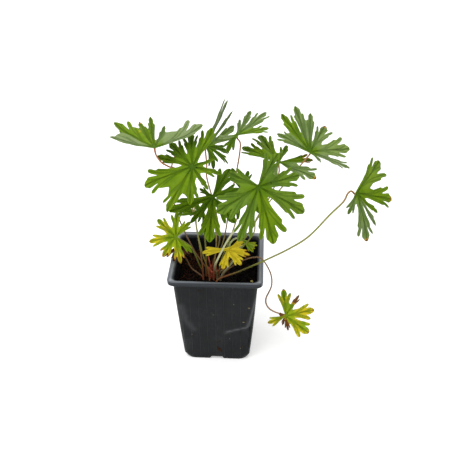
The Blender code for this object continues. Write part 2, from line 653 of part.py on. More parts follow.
def main():
    """Build every piece once."""
    black = make_material("pot_black", (0.022, 0.025, 0.028), 0.42)
    peat = make_material("soil_dark", (0.018, 0.012, 0.009), 0.95)
    rootstock = make_material("crown_red", (0.20, 0.05, 0.035), 0.8)
    make_pot(black)
    holes = [(*CROWN_CENTRE, CROWN_HOLE_RADIUS, CROWN_HOLE_SIDES)]
    for number, (bearing, distance, _, _) in STEMS.items():
        x, y = foot_point(bearing, distance)
        holes.append((x, y, STEM_HOLE_RADIUS, STEM_HOLE_SIDES))
    make_soil(peat, holes)
    make_crown(rootstock)
    make_bead(make_material("feed_yellow", (0.55, 0.46, 0.16), 0.35))
    for number, record in STEMS.items():
        make_stem(number, make_material(f"stem_{number}", record[2], 0.5))
    for number, record in BLADES.items():
        make_blade(number, make_material(f"blade_{number}", record[3], 0.5))


main()
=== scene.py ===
# %% [markdown]
# # A hardy geranium in its square nursery pot
# The plant is a young hardy geranium: a red crown at soil level, seventeen thin leaf stalks that
# arch outwards, and sixteen hand-shaped leaves cut into narrow lobes. It stands in a square black
# growing pot filled with dark peaty soil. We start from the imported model, which says where each
# piece is, and then make each surface finer, one piece at a time.

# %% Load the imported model
import bpy
import bmesh
import math
import random
import numpy as np
from mathutils import Matrix, Vector, noise
from mathutils.geometry import delaunay_2d_cdt


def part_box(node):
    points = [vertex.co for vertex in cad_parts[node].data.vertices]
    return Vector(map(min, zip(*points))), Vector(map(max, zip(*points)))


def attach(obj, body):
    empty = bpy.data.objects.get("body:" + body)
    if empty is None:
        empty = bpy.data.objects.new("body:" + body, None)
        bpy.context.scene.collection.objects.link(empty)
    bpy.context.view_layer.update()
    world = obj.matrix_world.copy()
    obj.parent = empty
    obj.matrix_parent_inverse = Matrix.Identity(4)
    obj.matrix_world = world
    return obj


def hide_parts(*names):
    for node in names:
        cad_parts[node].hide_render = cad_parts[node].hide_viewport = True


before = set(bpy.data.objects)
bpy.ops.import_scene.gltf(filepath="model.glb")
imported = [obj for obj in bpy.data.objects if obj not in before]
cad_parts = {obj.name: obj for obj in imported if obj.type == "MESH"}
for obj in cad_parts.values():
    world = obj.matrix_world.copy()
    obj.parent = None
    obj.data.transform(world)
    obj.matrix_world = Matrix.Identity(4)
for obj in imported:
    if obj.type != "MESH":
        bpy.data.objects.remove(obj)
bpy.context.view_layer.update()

MM = 0.001

# %% [markdown]
# ## Shared helpers
# Every piece is modelled in millimetres and written out in metres. Every colour is built up in
# coats, the way a painter works: a base, then thin layers that let some of it through.

# %% Shared helpers for objects
COLLECTION = bpy.context.scene.collection


def add_object(name, data, matrix=Matrix()):
    """New object in the scene, at the origin unless a matrix puts it elsewhere."""
    thing = bpy.data.objects.new(name, data)
    thing.matrix_world = matrix
    COLLECTION.objects.link(thing)
    return thing


def make_mesh(name, bm, materials):
    """Turn a bmesh into a mesh that carries the materials."""
    mesh = bpy.data.meshes.new(name)
    bm.to_mesh(mesh)
    bm.free()
    for material in materials:
        mesh.materials.append(material)
    return mesh


def finish_piece(name, bm, materials, nodes=()):
    """Write a bmesh in millimetres as one piece of the plant that stands for the given solids."""
    bmesh.ops.scale(bm, vec=(MM, MM, MM), verts=bm.verts)
    mesh = make_mesh(name, bm, materials)
    mesh.shade_smooth()
    piece = add_object(name, mesh)
    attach(piece, "root")
    if nodes:
        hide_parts(*nodes)
    return piece


def of_kind(items, kind):
    return [item for item in items if isinstance(item, kind)]


def extrude_ring(bm, edges):
    """Extrude a ring of edges. Gives the corners and the edges of the new ring."""
    made = bmesh.ops.extrude_edge_only(bm, edges=edges)["geom"]
    corners = of_kind(made, bmesh.types.BMVert)
    fresh = set(corners)
    return corners, [edge for edge in of_kind(made, bmesh.types.BMEdge)
                     if all(vert in fresh for vert in edge.verts)]


def extrude_faces(bm):
    """Double every face of a sheet. Gives the new corners and the new faces."""
    made = bmesh.ops.extrude_face_region(bm, geom=list(bm.faces), use_keep_orig=True)["geom"]
    return of_kind(made, bmesh.types.BMVert), of_kind(made, bmesh.types.BMFace)


def rough_ball(bm, radius, subdivisions, depth, fineness, shift=0.0):
    """Ball roughened by soft noise. Gives its corners."""
    ball = bmesh.ops.create_icosphere(bm, subdivisions=subdivisions, radius=radius)["verts"]
    for vert in ball:
        vert.co *= 1.0 + depth * noise.noise(vert.co * fineness + Vector((shift, 0.0, 0.0)))
    return ball


def taper(bm, sides, thick, thin, length):
    """Tapering bar along z with closed ends. Gives its corners."""
    return bmesh.ops.create_cone(bm, cap_ends=True, segments=sides, radius1=thick, radius2=thin,
                                 depth=length)["verts"]


def rotation(degrees, axis):
    return Matrix.Rotation(math.radians(degrees), 4, axis)


def any_spin(rng):
    """Random turn about the upright."""
    return Matrix.Rotation(rng.uniform(0.0, 6.28), 4, "Z")


print("helpers for objects ready")

# %% Shared helpers for materials
class Finish:
    """A Principled material with short calls for the nodes used here."""

    def __init__(self, name, **sockets):
        self.material = bpy.data.materials.new(name)
        self.material.use_nodes = True
        self.tree = self.material.node_tree
        self.shader = self.tree.nodes["Principled BSDF"]
        self.base = self.relief = None
        self.fill(sockets)

    def put(self, socket, value):
        if isinstance(value, bpy.types.NodeSocket):
            self.tree.links.new(value, socket)
        elif isinstance(value, tuple) and len(value) == 3 and socket.type == "RGBA":
            socket.default_value = (*value, 1.0)
        else:
            socket.default_value = value

    def fill(self, sockets):
        for socket, value in sockets.items():
            self.put(self.shader.inputs[socket.replace("_", " ")], value)

    def node(self, kind, values, **settings):
        made = self.tree.nodes.new("ShaderNode" + kind)
        for key, value in settings.items():
            setattr(made, key, value)
        for key, value in values.items():
            self.put(made.inputs[key], value)
        return made

    def place(self):
        return self.node("TexCoord", {}).outputs["Object"]

    def stretched(self, scale):
        return self.node("Mapping", {"Vector": self.place(), "Scale": scale}).outputs[0]

    def parts(self, vector):
        return self.node("SeparateXYZ", {0: vector}).outputs

    def reading(self, name, output="Fac"):
        return self.node("Attribute", {}, attribute_name=name).outputs[output]

    def noise(self, scale, detail=3.0, rough=0.5, where=None):
        values = {"Vector": where or self.place(), "Scale": scale, "Detail": detail,
                  "Roughness": rough}
        return self.node("TexNoise", values).outputs[0]

    def cells(self, scale):
        values = {"Vector": self.place(), "Scale": scale}
        return self.node("TexVoronoi", values).outputs["Distance"]

    def ease(self, value, low, high, start=0.0, end=1.0):
        values = {"Value": value, "From Min": low, "From Max": high, "To Min": start,
                  "To Max": end}
        return self.node("MapRange", values, interpolation_type="SMOOTHSTEP").outputs[0]

    def math(self, operation, first, second=0.0):
        return self.node("Math", {0: first, 1: second}, operation=operation).outputs[0]

    def times(self, first, second):
        return self.math("MULTIPLY", first, second)

    def plus(self, first, second):
        return self.math("ADD", first, second)

    def mix(self, share, first, second):
        return self.node("Mix", {0: share, 6: first, 7: second}, data_type="RGBA").outputs[2]

    def coat(self, share, most, colour):
        """Lay a colour over the base, at `most` where the share is 1."""
        self.base = self.mix(self.times(share, most), self.base, colour)

    def press(self, height, depth):
        """Add a bump to the relief so far."""
        values = {"Height": height, "Distance": depth, "Strength": 1.0}
        if self.relief:
            values["Normal"] = self.relief
        self.relief = self.node("Bump", values).outputs[0]

    def done(self, **sockets):
        """Connect the base, the relief and the sockets named, and give the material."""
        self.fill({"Base_Color": self.base, **sockets})
        if self.relief:
            self.fill({"Normal": self.relief})
        return self.material


print("helpers for materials ready")

# %% [markdown]
# ## Camera, floor and light
# The picture is taken from a little above the leaves, about 31 degrees down, with a short
# telephoto lens, so that the pot's sides narrow downwards. A camera's axes can be worked out from
# its pitch, yaw and roll, which is easier to match to a photograph than a target point.
# The light is a big white room: a bright world, one wide soft panel overhead at the left, and a
# weaker one behind that adds a faint sheen to leaves lying flat; their stronger grey sheen is
# painted into the leaf colour.

# %% Camera
PITCH, YAW, ROLL = math.radians(31.5), math.radians(3.4), math.radians(-0.52)
CAMERA_PLACE = Vector((0.042, -0.564, 0.484))
FOCAL_PIXELS, PICTURE_PIXELS, SENSOR_MM = 697.0, 452.0, 36.0


def camera_axes():
    """Right, up and forward directions of the camera."""
    forward = Vector((-math.sin(YAW) * math.cos(PITCH), math.cos(YAW) * math.cos(PITCH),
                      -math.sin(PITCH)))
    level = Vector((math.cos(YAW), math.sin(YAW), 0.0))
    rise = level.cross(forward)
    right = level * math.cos(ROLL) + rise * math.sin(ROLL)
    up = rise * math.cos(ROLL) - level * math.sin(ROLL)
    return right, up, forward


lens = bpy.data.cameras.new("camera")
lens.sensor_width = SENSOR_MM
lens.lens = SENSOR_MM * FOCAL_PIXELS / PICTURE_PIXELS
lens.clip_start = 0.01
right, up, forward = camera_axes()
view = Matrix((right, up, -forward)).transposed().to_4x4()
bpy.context.scene.camera = add_object("camera", lens, Matrix.Translation(CAMERA_PLACE) @ view)
print("lens", round(lens.lens, 1), "mm")

# %% Floor and light
bpy.context.scene.view_settings.view_transform = "Standard"
world = bpy.data.worlds.new("white_room")
world.use_nodes = True
world.node_tree.nodes["Background"].inputs["Color"].default_value = (1.0, 1.0, 1.0, 1.0)
world.node_tree.nodes["Background"].inputs["Strength"].default_value = 0.8
bpy.context.scene.world = world


def soft_panel(name, place, aim, size, watts):
    """Square lamp facing a point."""
    lamp = bpy.data.lights.new(name, "AREA")
    lamp.size, lamp.energy = size, watts
    facing = (Vector(place) - Vector(aim)).to_track_quat("Z", "Y").to_matrix().to_4x4()
    add_object(name, lamp, Matrix.Translation(place) @ facing)


soft_panel("key_panel", (-0.5, -0.5, 1.7), (0.0, 0.0, 0.1), 1.0, 16.0)
soft_panel("back_panel", (0.3, 1.3, 1.2), (0.0, 0.0, 0.2), 1.2, 7.0)

paper = Finish("white_floor", Roughness=0.9, Emission_Color=(1.0, 1.0, 1.0),
               Emission_Strength=0.34)
paper.base = paper.mix(paper.noise(3.0), (0.86, 0.86, 0.86), (0.875, 0.875, 0.875))
bm = bmesh.new()
bmesh.ops.create_grid(bm, x_segments=8, y_segments=8, size=6.0)
bmesh.ops.translate(bm, vec=(0.0, 2.0, -0.0003), verts=bm.verts)
add_object("floor", make_mesh("floor", bm, [paper.done()]))
print("floor and two panels set")

# %% [markdown]
# ## The pot
# A nursery pot is thin black polypropylene, blown or pressed in a tapering mould. It could be cut
# from a cube, but its form is really one outline that changes from foot to rim, so we sweep it: a
# ring shaped as a rounded square is extruded upwards again and again, each time to the next width.
# The same sweep turns over the rim and runs back down the inside, and leaves one closed wall.

# %% Outline of the pot
# Rings of the wall: height, half width and corner radius, all in millimetres.
CORNER_STEPS, SIDE_STEPS = 8, 24
POT_BASE = (
    (0.9, 20.0, 9.0), (0.9, 27.4, 9.0), (0.15, 28.4, 9.4), (0.0, 29.2, 9.6), (0.0, 31.9, 10.6),
    (0.25, 32.3, 10.9), (1.2, 32.5, 10.4), (2.4, 32.6, 9.4), (3.8, 32.7, 7.6), (5.5, 32.84, 5.0),
    (7.0, 32.96, 5.0))
POT_RIM = (
    (97.3, 40.2, 5.0), (97.75, 40.6, 5.2), (97.85, 43.9, 5.9), (98.05, 44.5, 6.0),
    (98.5, 44.75, 6.0), (99.1, 44.75, 6.0), (99.5, 44.45, 6.0), (100.0, 44.4, 6.0),
    (100.6, 44.75, 6.0), (101.3, 45.0, 6.0), (102.1, 44.95, 6.0), (102.7, 44.6, 6.0),
    (103.0, 44.0, 6.0), (103.0, 42.9, 5.9), (102.6, 42.1, 5.8), (101.9, 41.4, 5.6),
    (101.4, 40.3, 5.3), (100.8, 39.4, 5.0), (99.5, 39.15, 5.0), (97.0, 39.05, 5.0))
POT_INNER_BASE = ((7.0, 31.8, 5.0), (4.4, 31.6, 7.0), (2.6, 31.0, 9.2), (1.5, 29.6, 10.0),
                  (1.4, 20.0, 9.0))
WALL_CORNER, OUTER_RINGS, INNER_RINGS = 5.0, 40, 30
POT_TOP_BODY, POT_FOOT_BODY, POT_BODY_HEIGHT, POT_WALL = 40.2, 32.4, 97.8, 1.1
UNDER_RIM, FOOT_NOTCH, NOTCH_HALF, RIM_SAG = 97.5, 2.4, 5.6, 0.5
# How far each side bows out, and the depth of the dent and of the fold in the front.
BOW_RIGHT, BOW_LEFT, BOW_FRONT, BOW_BACK, DENT, FOLD = 1.5, 0.4, 0.5, 0.6, 2.2, 0.35
# Creases of the front wall, as place across and height, with the width and the strength of the
# painted highlight on each.
CREASES = ((((39.4, 84.2), (31.2, 44.9), (26.0, 42.6), (9.6, 37.3)), 1.1, 0.8),
           (((-33.4, 70.0), (-30.0, 52.0), (-22.0, 40.0)), 2.6, 0.32))


def square_outline(half, corner):
    """Rounded square, anticlockwise from the middle of the front's right half."""
    points = []
    for quarter in range(4):
        turn = math.radians(90.0 * quarter)
        flat = half - corner
        ring = []
        for step in range(SIDE_STEPS):
            ring.append((half, -flat + 2.0 * flat * step / SIDE_STEPS))
        for step in range(CORNER_STEPS):
            angle = math.radians(90.0 * step / CORNER_STEPS)
            ring.append((flat + corner * math.cos(angle), flat + corner * math.sin(angle)))
        for x, y in ring:
            points.append(Vector((x * math.cos(turn) - y * math.sin(turn),
                                  x * math.sin(turn) + y * math.cos(turn))))
    return points


def body_half(z):
    """Half width of the outer wall at height z."""
    return POT_FOOT_BODY + (POT_TOP_BODY - POT_FOOT_BODY) * z / POT_BODY_HEIGHT


def hump(x, centre, width):
    """Soft bell from 0 to 1."""
    return math.exp(-((x - centre) / width) ** 2)


def ease(t):
    """Smooth step from 0 to 1."""
    t = min(max(t, 0.0), 1.0)
    return t * t * (3.0 - 2.0 * t)


def distance_to(points, starts, ends):
    """Least distance from each point to a set of straight pieces."""
    best = np.full(len(points), 1e9)
    for a, b in zip(starts, ends):
        run = b - a
        share = np.clip(((points - a) @ run) / max(run @ run, 1e-9), 0.0, 1.0)
        best = np.minimum(best, np.hypot(*(points - a - share[:, None] * run).T))
    return best


def wall_push(x, y, z):
    """How far the soft wall bows out (+) or is dented in (-) at a point."""
    swell = math.sin(math.pi * min(max(z / 97.0, 0.0), 1.0))
    push = 0.0
    if x > abs(y):
        push += BOW_RIGHT * swell * math.cos(y / 40.0 * math.pi / 2.0)
    if x < -abs(y):
        push += BOW_LEFT * swell
    if y < -abs(x):
        push += BOW_FRONT * swell * math.cos(x / 40.0 * math.pi / 2.0)
        # The dent lies below a crease that climbs to the right, and a fold runs up from its end.
        edge = 37.3 + 7.6 * (x - 9.6) / 21.6
        push -= DENT * ease((x - 5.0) / 12.0) * ease((edge - z) / 4.5) * ease((z - 3.0) / 20.0)
        fold = 31.2 + 8.2 * (z - 44.9) / 39.3
        push -= FOLD * max(x - fold, 0.0) * ease((z - 38.0) / 8.0) * ease((92.0 - z) / 10.0)
    if y > abs(x):
        push += BOW_BACK * swell
    return push


def crease_highlight(x, y, z):
    """Near 1 on the creases of the front wall, where a highlight is painted paler."""
    if y > -abs(x) * 0.8:
        return 0.0
    highlights = []
    for corners, width, most in CREASES:
        line = np.array(corners)
        away = distance_to(np.array([[x, z]]), line[:-1], line[1:])[0]
        highlights.append(most * hump(away, 0.0, width))
    return max(highlights)


print(len(square_outline(45.0, 6.0)), "points round the pot")

# %% Sweep the wall
def pot_rings():
    """Every ring: the base, up the wall, over the rim and down inside."""
    rings = list(POT_BASE)
    low, high, inner_high = POT_BASE[-1][0], POT_RIM[0][0], POT_RIM[-1][0]
    for step in range(1, OUTER_RINGS):
        z = low + (high - low) * step / OUTER_RINGS
        rings.append((z, body_half(z), WALL_CORNER))
    rings += POT_RIM
    for step in range(1, INNER_RINGS):
        z = inner_high - (inner_high - low) * step / INNER_RINGS
        rings.append((z, body_half(z) - POT_WALL, WALL_CORNER))
    return rings + list(POT_INNER_BASE)


def pot_point(z, half, corner):
    """Function that gives the place of each corner of a ring."""
    outline = square_outline(half, corner)
    notch = FOOT_NOTCH * ease((4.0 - z) / 4.0)

    def place(k):
        x, y = outline[k]
        lift = 0.0
        if z < UNDER_RIM:
            # The walls bow and dent but the base doesn't, and each lower edge has a notch.
            reach = max(abs(x), abs(y))
            push = wall_push(x, y, z) * ease((reach - 24.0) / 6.0)
            x += push * (1.0 if x > 0 else -1.0) * (abs(x) >= abs(y))
            y += push * (1.0 if y > 0 else -1.0) * (abs(y) > abs(x))
            along = min(abs(x), abs(y))
            lift = notch * (1.0 - ease((along - NOTCH_HALF) / 1.4)) * ease((reach - 25.0) / 3.0)
        sag = RIM_SAG * hump(x, 6.0, 26.0) * (y < -30.0) * (z > 97.0)
        return Vector((x, y, z + lift - sag))
    return place


def sweep_pot():
    """One closed wall. Each corner keeps its number, so a new ring knows where to go."""
    bm = bmesh.new()
    index = bm.verts.layers.int.new("k")
    rings = pot_rings()
    place = pot_point(*rings[0])
    first = bmesh.ops.create_circle(bm, segments=4 * (SIDE_STEPS + CORNER_STEPS), radius=1.0)
    for k, vert in enumerate(first["verts"]):
        vert[index] = k
        vert.co = place(k)
    start = edges = list(bm.edges)
    for ring in rings[1:]:
        place = pot_point(*ring)
        corners, edges = extrude_ring(bm, edges)
        for vert in corners:
            vert.co = place(vert[index])
    for hole in (start, edges):
        bmesh.ops.edgeloop_fill(bm, edges=hole)
    bmesh.ops.recalc_face_normals(bm, faces=bm.faces)
    # Strength of the painted highlight on the creases, kept on each corner for the material.
    painted_highlight = bm.verts.layers.float.new("painted_highlight")
    for vert in bm.verts:
        vert[painted_highlight] = crease_highlight(*vert.co)
    return bm


bm = sweep_pot()
print(len(bm.faces), "faces in the pot's wall")

# %% [markdown]
# ## Black plastic
# The plastic is charcoal, with highlights painted into it as paler grey along the rim and along the
# creases of the front wall.
# Faint upright ridges run down each side, eight millimetres apart, left by the mould. They are far
# too thin to model, so a bump draws them from the object's own x and y. Specks of dried peat
# cling on.

# %% Pot material
def pot_finish():
    look = Finish("pot_plastic", Specular_IOR_Level=0.13)
    x, y, z = look.parts(look.place())
    wide, deep = look.math("ABSOLUTE", x), look.math("ABSOLUTE", y)
    broad = look.math("GREATER_THAN", deep, wide)
    along = look.plus(look.times(x, broad), look.times(y, look.math("SUBTRACT", 1.0, broad)))
    ridge = look.times(look.ease(look.math("PINGPONG", along, 0.004), 0.0007, 0.0001),
                       look.ease(z, 0.0975, 0.0965))
    drag = look.noise(60.0, 4.0, 0.6, look.stretched((1.0, 1.0, 0.12)))
    look.base = look.mix(drag, (0.0035, 0.0042, 0.0048), (0.01, 0.0113, 0.0123))
    scuff = look.ease(look.noise(55.0, 5.0, 0.65), 0.55, 0.8)
    look.coat(scuff, 0.3, (0.05, 0.054, 0.058))
    grime = look.times(look.ease(look.noise(620.0, 5.0, 0.75), 0.48, 0.7),
                       look.ease(look.noise(34.0, 4.0, 0.6), 0.38, 0.66, 0.15, 0.75))
    look.coat(grime, 0.55, (0.038, 0.045, 0.046))
    broken = look.ease(look.noise(45.0, 4.0, 0.6), 0.3, 0.7, 0.3, 1.0)
    look.coat(look.times(ridge, broken), 0.27, (0.055, 0.06, 0.064))
    # Painted highlight along the creases of the front wall.
    look.coat(look.reading("painted_highlight"), 0.7, (0.115, 0.12, 0.125))
    # Painted highlights: the rim band is painted greyer, its outer bead and top lip paler, and its
    # inner top edge palest, where the light catches them.
    rim = look.ease(z, 0.0978, 0.099)
    look.coat(rim, 0.45, (0.06, 0.067, 0.078))
    lip = look.math("MAXIMUM", look.ease(z, 0.1018, 0.103), look.ease(wide, 0.0425, 0.0442))
    look.coat(look.times(rim, lip), 0.8, (0.185, 0.2, 0.23))
    inside_edge = look.ease(look.math("MAXIMUM", wide, deep), 0.0428, 0.042)
    look.coat(look.times(look.ease(z, 0.1012, 0.1022), inside_edge), 0.75, (0.33, 0.345, 0.37))
    specks = look.times(look.ease(look.cells(170.0), 0.13, 0.03),
                        look.ease(look.noise(24.0), 0.56, 0.66))
    look.coat(specks, 0.8, (0.09, 0.05, 0.025))
    look.press(look.noise(900.0, 3.0, 0.6), 0.00012)
    look.press(look.noise(28.0, 2.0), 0.0022)
    look.press(ridge, 0.0006)
    return look.done(Roughness=look.ease(look.noise(160.0, 4.0, 0.7), 0.2, 0.8, 0.36, 0.56))


pot = finish_piece("pot_wall", bm, [pot_finish()], ["pot"])
print("pot box", [round(v / MM, 1) for v in pot.dimensions])

# %% [markdown]
# ## The soil
# Potting mix is peat crumbs with bark and coir fibres. A flat block would look like a lid, so the
# surface is a fine grid pushed up and down by layered noise, and about two thousand loose crumbs
# and slivers are laid on it. Each crumb is a twenty-sided ball squeezed at random, which is enough
# faces for something two millimetres across.

# %% Height of the soil
SOIL_TOP = 81.0
CROWN_PLACE = Vector((-5.0, -4.0, SOIL_TOP))
SOIL_CORNER, SOIL_SQUARES, SOIL_CLEAR, LOOSE_CLEAR = 5.0, 110, 0.3, 2.2
SLOPE, LUMPS = 5.0, 1.3
# Small roughness of the surface: layer of the noise, fineness and height.
ROUGHNESS = ((3.0, 0.35, 0.7), (9.0, 0.8, 0.5), (1.0, 1.9, 0.35))
# Height of each ring of the sides and its clearance from the wall, which is dented lower down.
SOIL_SIDES = ((75.0, 0.6), (66.0, 3.6), (2.4, 3.6))


def soil_level(x, y):
    """Lumpy height of the soil, a little higher towards the back and the left."""
    away = math.hypot(x - CROWN_PLACE.x, y - CROWN_PLACE.y)
    lift = SLOPE * ease((y - 0.5 * x) / 60.0)
    lumps = (math.sin(0.31 * x + 1.3) * math.cos(0.27 * y - 0.6)
             + 0.6 * math.sin(0.63 * x - 0.4 * y))
    level = SOIL_TOP + (lift + LUMPS * lumps) * ease((away - 13.0) / 12.0)
    for layer, fineness, height in ROUGHNESS:
        level += height * noise.noise(Vector((x, y, layer)) * fineness)
    return level


def make_soil_block():
    """Grid pressed into the pot's rounded square, with sides that follow the pot's taper."""
    bm = bmesh.new()
    bmesh.ops.create_grid(bm, x_segments=SOIL_SQUARES, y_segments=SOIL_SQUARES, size=1.0)
    half = body_half(SOIL_TOP) - POT_WALL - SOIL_CLEAR
    flat = half - SOIL_CORNER
    for vert in bm.verts:
        x, y = vert.co.x * half, vert.co.y * half
        over = Vector((max(abs(x) - flat, 0.0), max(abs(y) - flat, 0.0)))
        if over.x > 0.0 and over.y > 0.0:
            over = over * (max(over.x, over.y) / over.length)
            x = math.copysign(flat + over.x, x)
            y = math.copysign(flat + over.y, y)
        vert.co = Vector((x, y, soil_level(x, y)))
    rim = [edge for edge in bm.edges if edge.is_boundary]
    for z, clear in SOIL_SIDES:
        lower, rim = extrude_ring(bm, rim)
        for vert in lower:
            vert.co.z = z
        fit = (body_half(z) - POT_WALL - clear) / max(abs(v.co.x) for v in lower)
        bmesh.ops.scale(bm, vec=(fit, fit, 1.0), verts=lower)
    bmesh.ops.edgeloop_fill(bm, edges=rim)
    bmesh.ops.recalc_face_normals(bm, faces=bm.faces)
    return bm


def soil_finish(name, dark, light, fibre):
    look = Finish(name, Roughness=0.95, Specular_IOR_Level=0.1)
    look.base = look.mix(look.noise(260.0, 5.0, 0.7), dark, light)
    strands = look.noise(500.0, 2.0, 0.5, look.stretched((1.0, 0.22, 1.0)))
    look.coat(look.ease(strands, 0.62, 0.72), 0.7, fibre)
    look.press(look.noise(700.0, 5.0, 0.75), 0.0012)
    return look.done()


peat = soil_finish("peat", (0.0018, 0.0013, 0.0011), (0.0062, 0.0037, 0.0027),
                   (0.032, 0.012, 0.006))
soil = finish_piece("soil_block", make_soil_block(), [peat], ["soil"])
print("soil", len(soil.data.polygons), "faces")

# %% Crumbs, bark and fibres
def scatter_spot(rng):
    """A random place on the soil, clear of the wall."""
    half = body_half(SOIL_TOP) - POT_WALL - LOOSE_CLEAR
    return rng.uniform(-half, half), rng.uniform(-half, half)


def fibrous_spot(rng):
    """A random place, far more often at the back left, where the bark lies."""
    while True:
        x, y = scatter_spot(rng)
        if rng.random() < 0.05 + 0.95 * ease((y - 0.8 * x + 5.0) / 45.0):
            return x, y


def make_crumbs(rng, count):
    """Loose crumbs, each a squeezed twenty-sided ball."""
    bm = bmesh.new()
    for _ in range(count):
        x, y = scatter_spot(rng)
        size = rng.choice((0.5, 0.6, 0.8, 1.0, 1.5))
        ball = bmesh.ops.create_icosphere(bm, subdivisions=1, radius=size)["verts"]
        for vert in ball:
            vert.co *= rng.uniform(0.7, 1.15)
        squeeze = Matrix.Diagonal((rng.uniform(0.7, 1.3), rng.uniform(0.7, 1.3),
                                   rng.uniform(0.5, 0.9), 1.0))
        put = Matrix.Translation((x, y, soil_level(x, y) + 0.25 * size))
        bmesh.ops.transform(bm, matrix=put @ any_spin(rng) @ squeeze, verts=ball)
    return bm


def make_slivers(rng, count, length, width):
    """Bark chips or fibres: thin bars, tapered and bent, lying at all angles."""
    bm = bmesh.new()
    for _ in range(count):
        x, y = fibrous_spot(rng)
        half = rng.uniform(0.5, 1.0) * length / 2.0
        thin = rng.uniform(0.5, 1.0) * width
        before = len(bm.verts)
        bar = taper(bm, 5, thin, 0.5 * thin, 2.0 * half)
        sides = [e for e in {e for v in bar for e in v.link_edges}
                 if abs(e.verts[0].co.z - e.verts[1].co.z) > half]
        bmesh.ops.subdivide_edges(bm, edges=sides, cuts=2)
        bm.verts.ensure_lookup_table()
        bar = bm.verts[before:]
        bow = rng.uniform(-0.25, 0.25) * half
        for vert in bar:
            vert.co.x += bow * (1.0 - (vert.co.z / half) ** 2)
        lie = any_spin(rng) @ rotation(90.0 + rng.uniform(-16.0, 16.0), "Y")
        put = Matrix.Translation((x, y, soil_level(x, y) + thin * 0.7))
        bmesh.ops.transform(bm, matrix=put @ lie, verts=bar)
    return bm


rng = random.Random(5)
bark_look = soil_finish("bark", (0.016, 0.005, 0.003), (0.075, 0.022, 0.009), (0.16, 0.055, 0.022))
fibre_look = soil_finish("fibre", (0.05, 0.015, 0.006), (0.19, 0.06, 0.022), (0.3, 0.12, 0.045))
crumbs = finish_piece("soil_crumbs", make_crumbs(rng, 1500), [peat])
bark = finish_piece("bark_chips", make_slivers(rng, 220, 5.0, 0.75), [bark_look])
fibres = finish_piece("coir_fibres", make_slivers(rng, 260, 8.0, 0.2), [fibre_look])
print("loose pieces:", [len(p.data.polygons) for p in (crumbs, bark, fibres)], "faces")

# %% [markdown]
# Watering splashes soil over the side, so a few crumbs stick to the front wall. They are finer
# balls, roughened by noise, pressed flat and sunk a little into the plastic.

# %% Peat on the wall
# Place across the wall, height, size and the share of its width each crumb is tall.
SPLASHES = (
    (2.9, 13.3, 1.9, 1.2), (1.4, 16.0, 1.1, 0.9), (4.6, 10.4, 1.0, 1.1), (3.0, 24.6, 1.1, 0.8),
    (0.8, 22.6, 0.7, 1.0), (32.0, 69.9, 1.2, 0.35), (26.9, 51.4, 1.2, 0.3), (-14.4, 90.0, 1.2, 0.6),
    (-11.0, 91.5, 0.6, 0.8), (-7.5, 28.8, 0.5, 1.1), (-6.0, 46.0, 0.5, 1.0), (9.5, 46.5, 0.5, 1.0),
    (-20.5, 9.0, 0.6, 0.8), (25.5, 17.0, 0.6, 1.3), (23.8, 14.2, 0.4, 1.0), (-24.0, 33.0, 0.4, 1.0),
    (13.0, 27.0, 0.4, 1.0), (-2.4, 60.0, 0.4, 1.0), (17.5, 74.0, 0.4, 1.0))
bm = bmesh.new()
for k, (x, z, size, tall) in enumerate(SPLASHES):
    blob = rough_ball(bm, size, 2, 0.35, 1.1 / size, k)
    y = -body_half(z) - wall_push(x, -body_half(z), z)
    for vert in blob:
        vert.co = Vector((vert.co.x + x, vert.co.y * 0.35 + y, vert.co.z * tall + z))
    for face in {face for vert in blob for face in vert.link_faces}:
        face.material_index = int(tall < 0.55 or size < 0.45)
splash_looks = [
    soil_finish("splashed_peat", (0.01, 0.005, 0.003), (0.05, 0.024, 0.011), (0.11, 0.055, 0.022)),
    soil_finish("splashed_husk", (0.16, 0.12, 0.06), (0.34, 0.27, 0.15), (0.45, 0.37, 0.22))]
finish_piece("peat_specks", bm, splash_looks)
print(len(SPLASHES), "crumbs stuck to the wall")

# %% [markdown]
# ## The crown and the feed grain
# Where the stalks leave the soil, the rootstock shows as a knobbly red-brown crown wrapped in
# papery scales, with short stumps of old stalks. The scales are single petals of a cone: narrow
# strips that lean outwards and end in a point. A yellow-green grain of slow-release feed lies at
# the right.

# %% Crown
# Stumps: bearing, lean from the upright, height and radius.
STUMPS = ((-150, 24, 12.0, 1.25), (-40, 28, 11.0, 1.1), (60, 30, 9.0, 1.2), (130, 36, 8.0, 1.3),
          (-95, 30, 8.5, 1.2), (10, 42, 8.0, 1.0), (118, 30, 20.0, 0.62), (62, 16, 22.0, 0.6))


def make_crown(rng):
    """Rootstock with stumps."""
    bm = bmesh.new()
    body = rough_ball(bm, 3.7, 3, 0.16, 0.55)
    bmesh.ops.scale(bm, vec=(1.0, 1.0, 1.55), verts=body)
    bmesh.ops.translate(bm, vec=CROWN_PLACE + Vector((0.0, 0.0, 1.0)), verts=body)
    for bearing, lean, tall, thick in STUMPS:
        stump = taper(bm, 10, thick * 1.25, thick, tall)
        for vert in stump:
            if vert.co.z > 0.0:
                vert.co.z += rng.uniform(-0.7, 0.7)
        put = Matrix.Translation(CROWN_PLACE + Vector((0.0, 0.0, 1.5)))
        put = put @ rotation(bearing, "Z") @ rotation(lean, "Y")
        bmesh.ops.transform(bm, matrix=put @ Matrix.Translation((0.0, 0.0, tall / 2.0)),
                            verts=stump)
    return bm


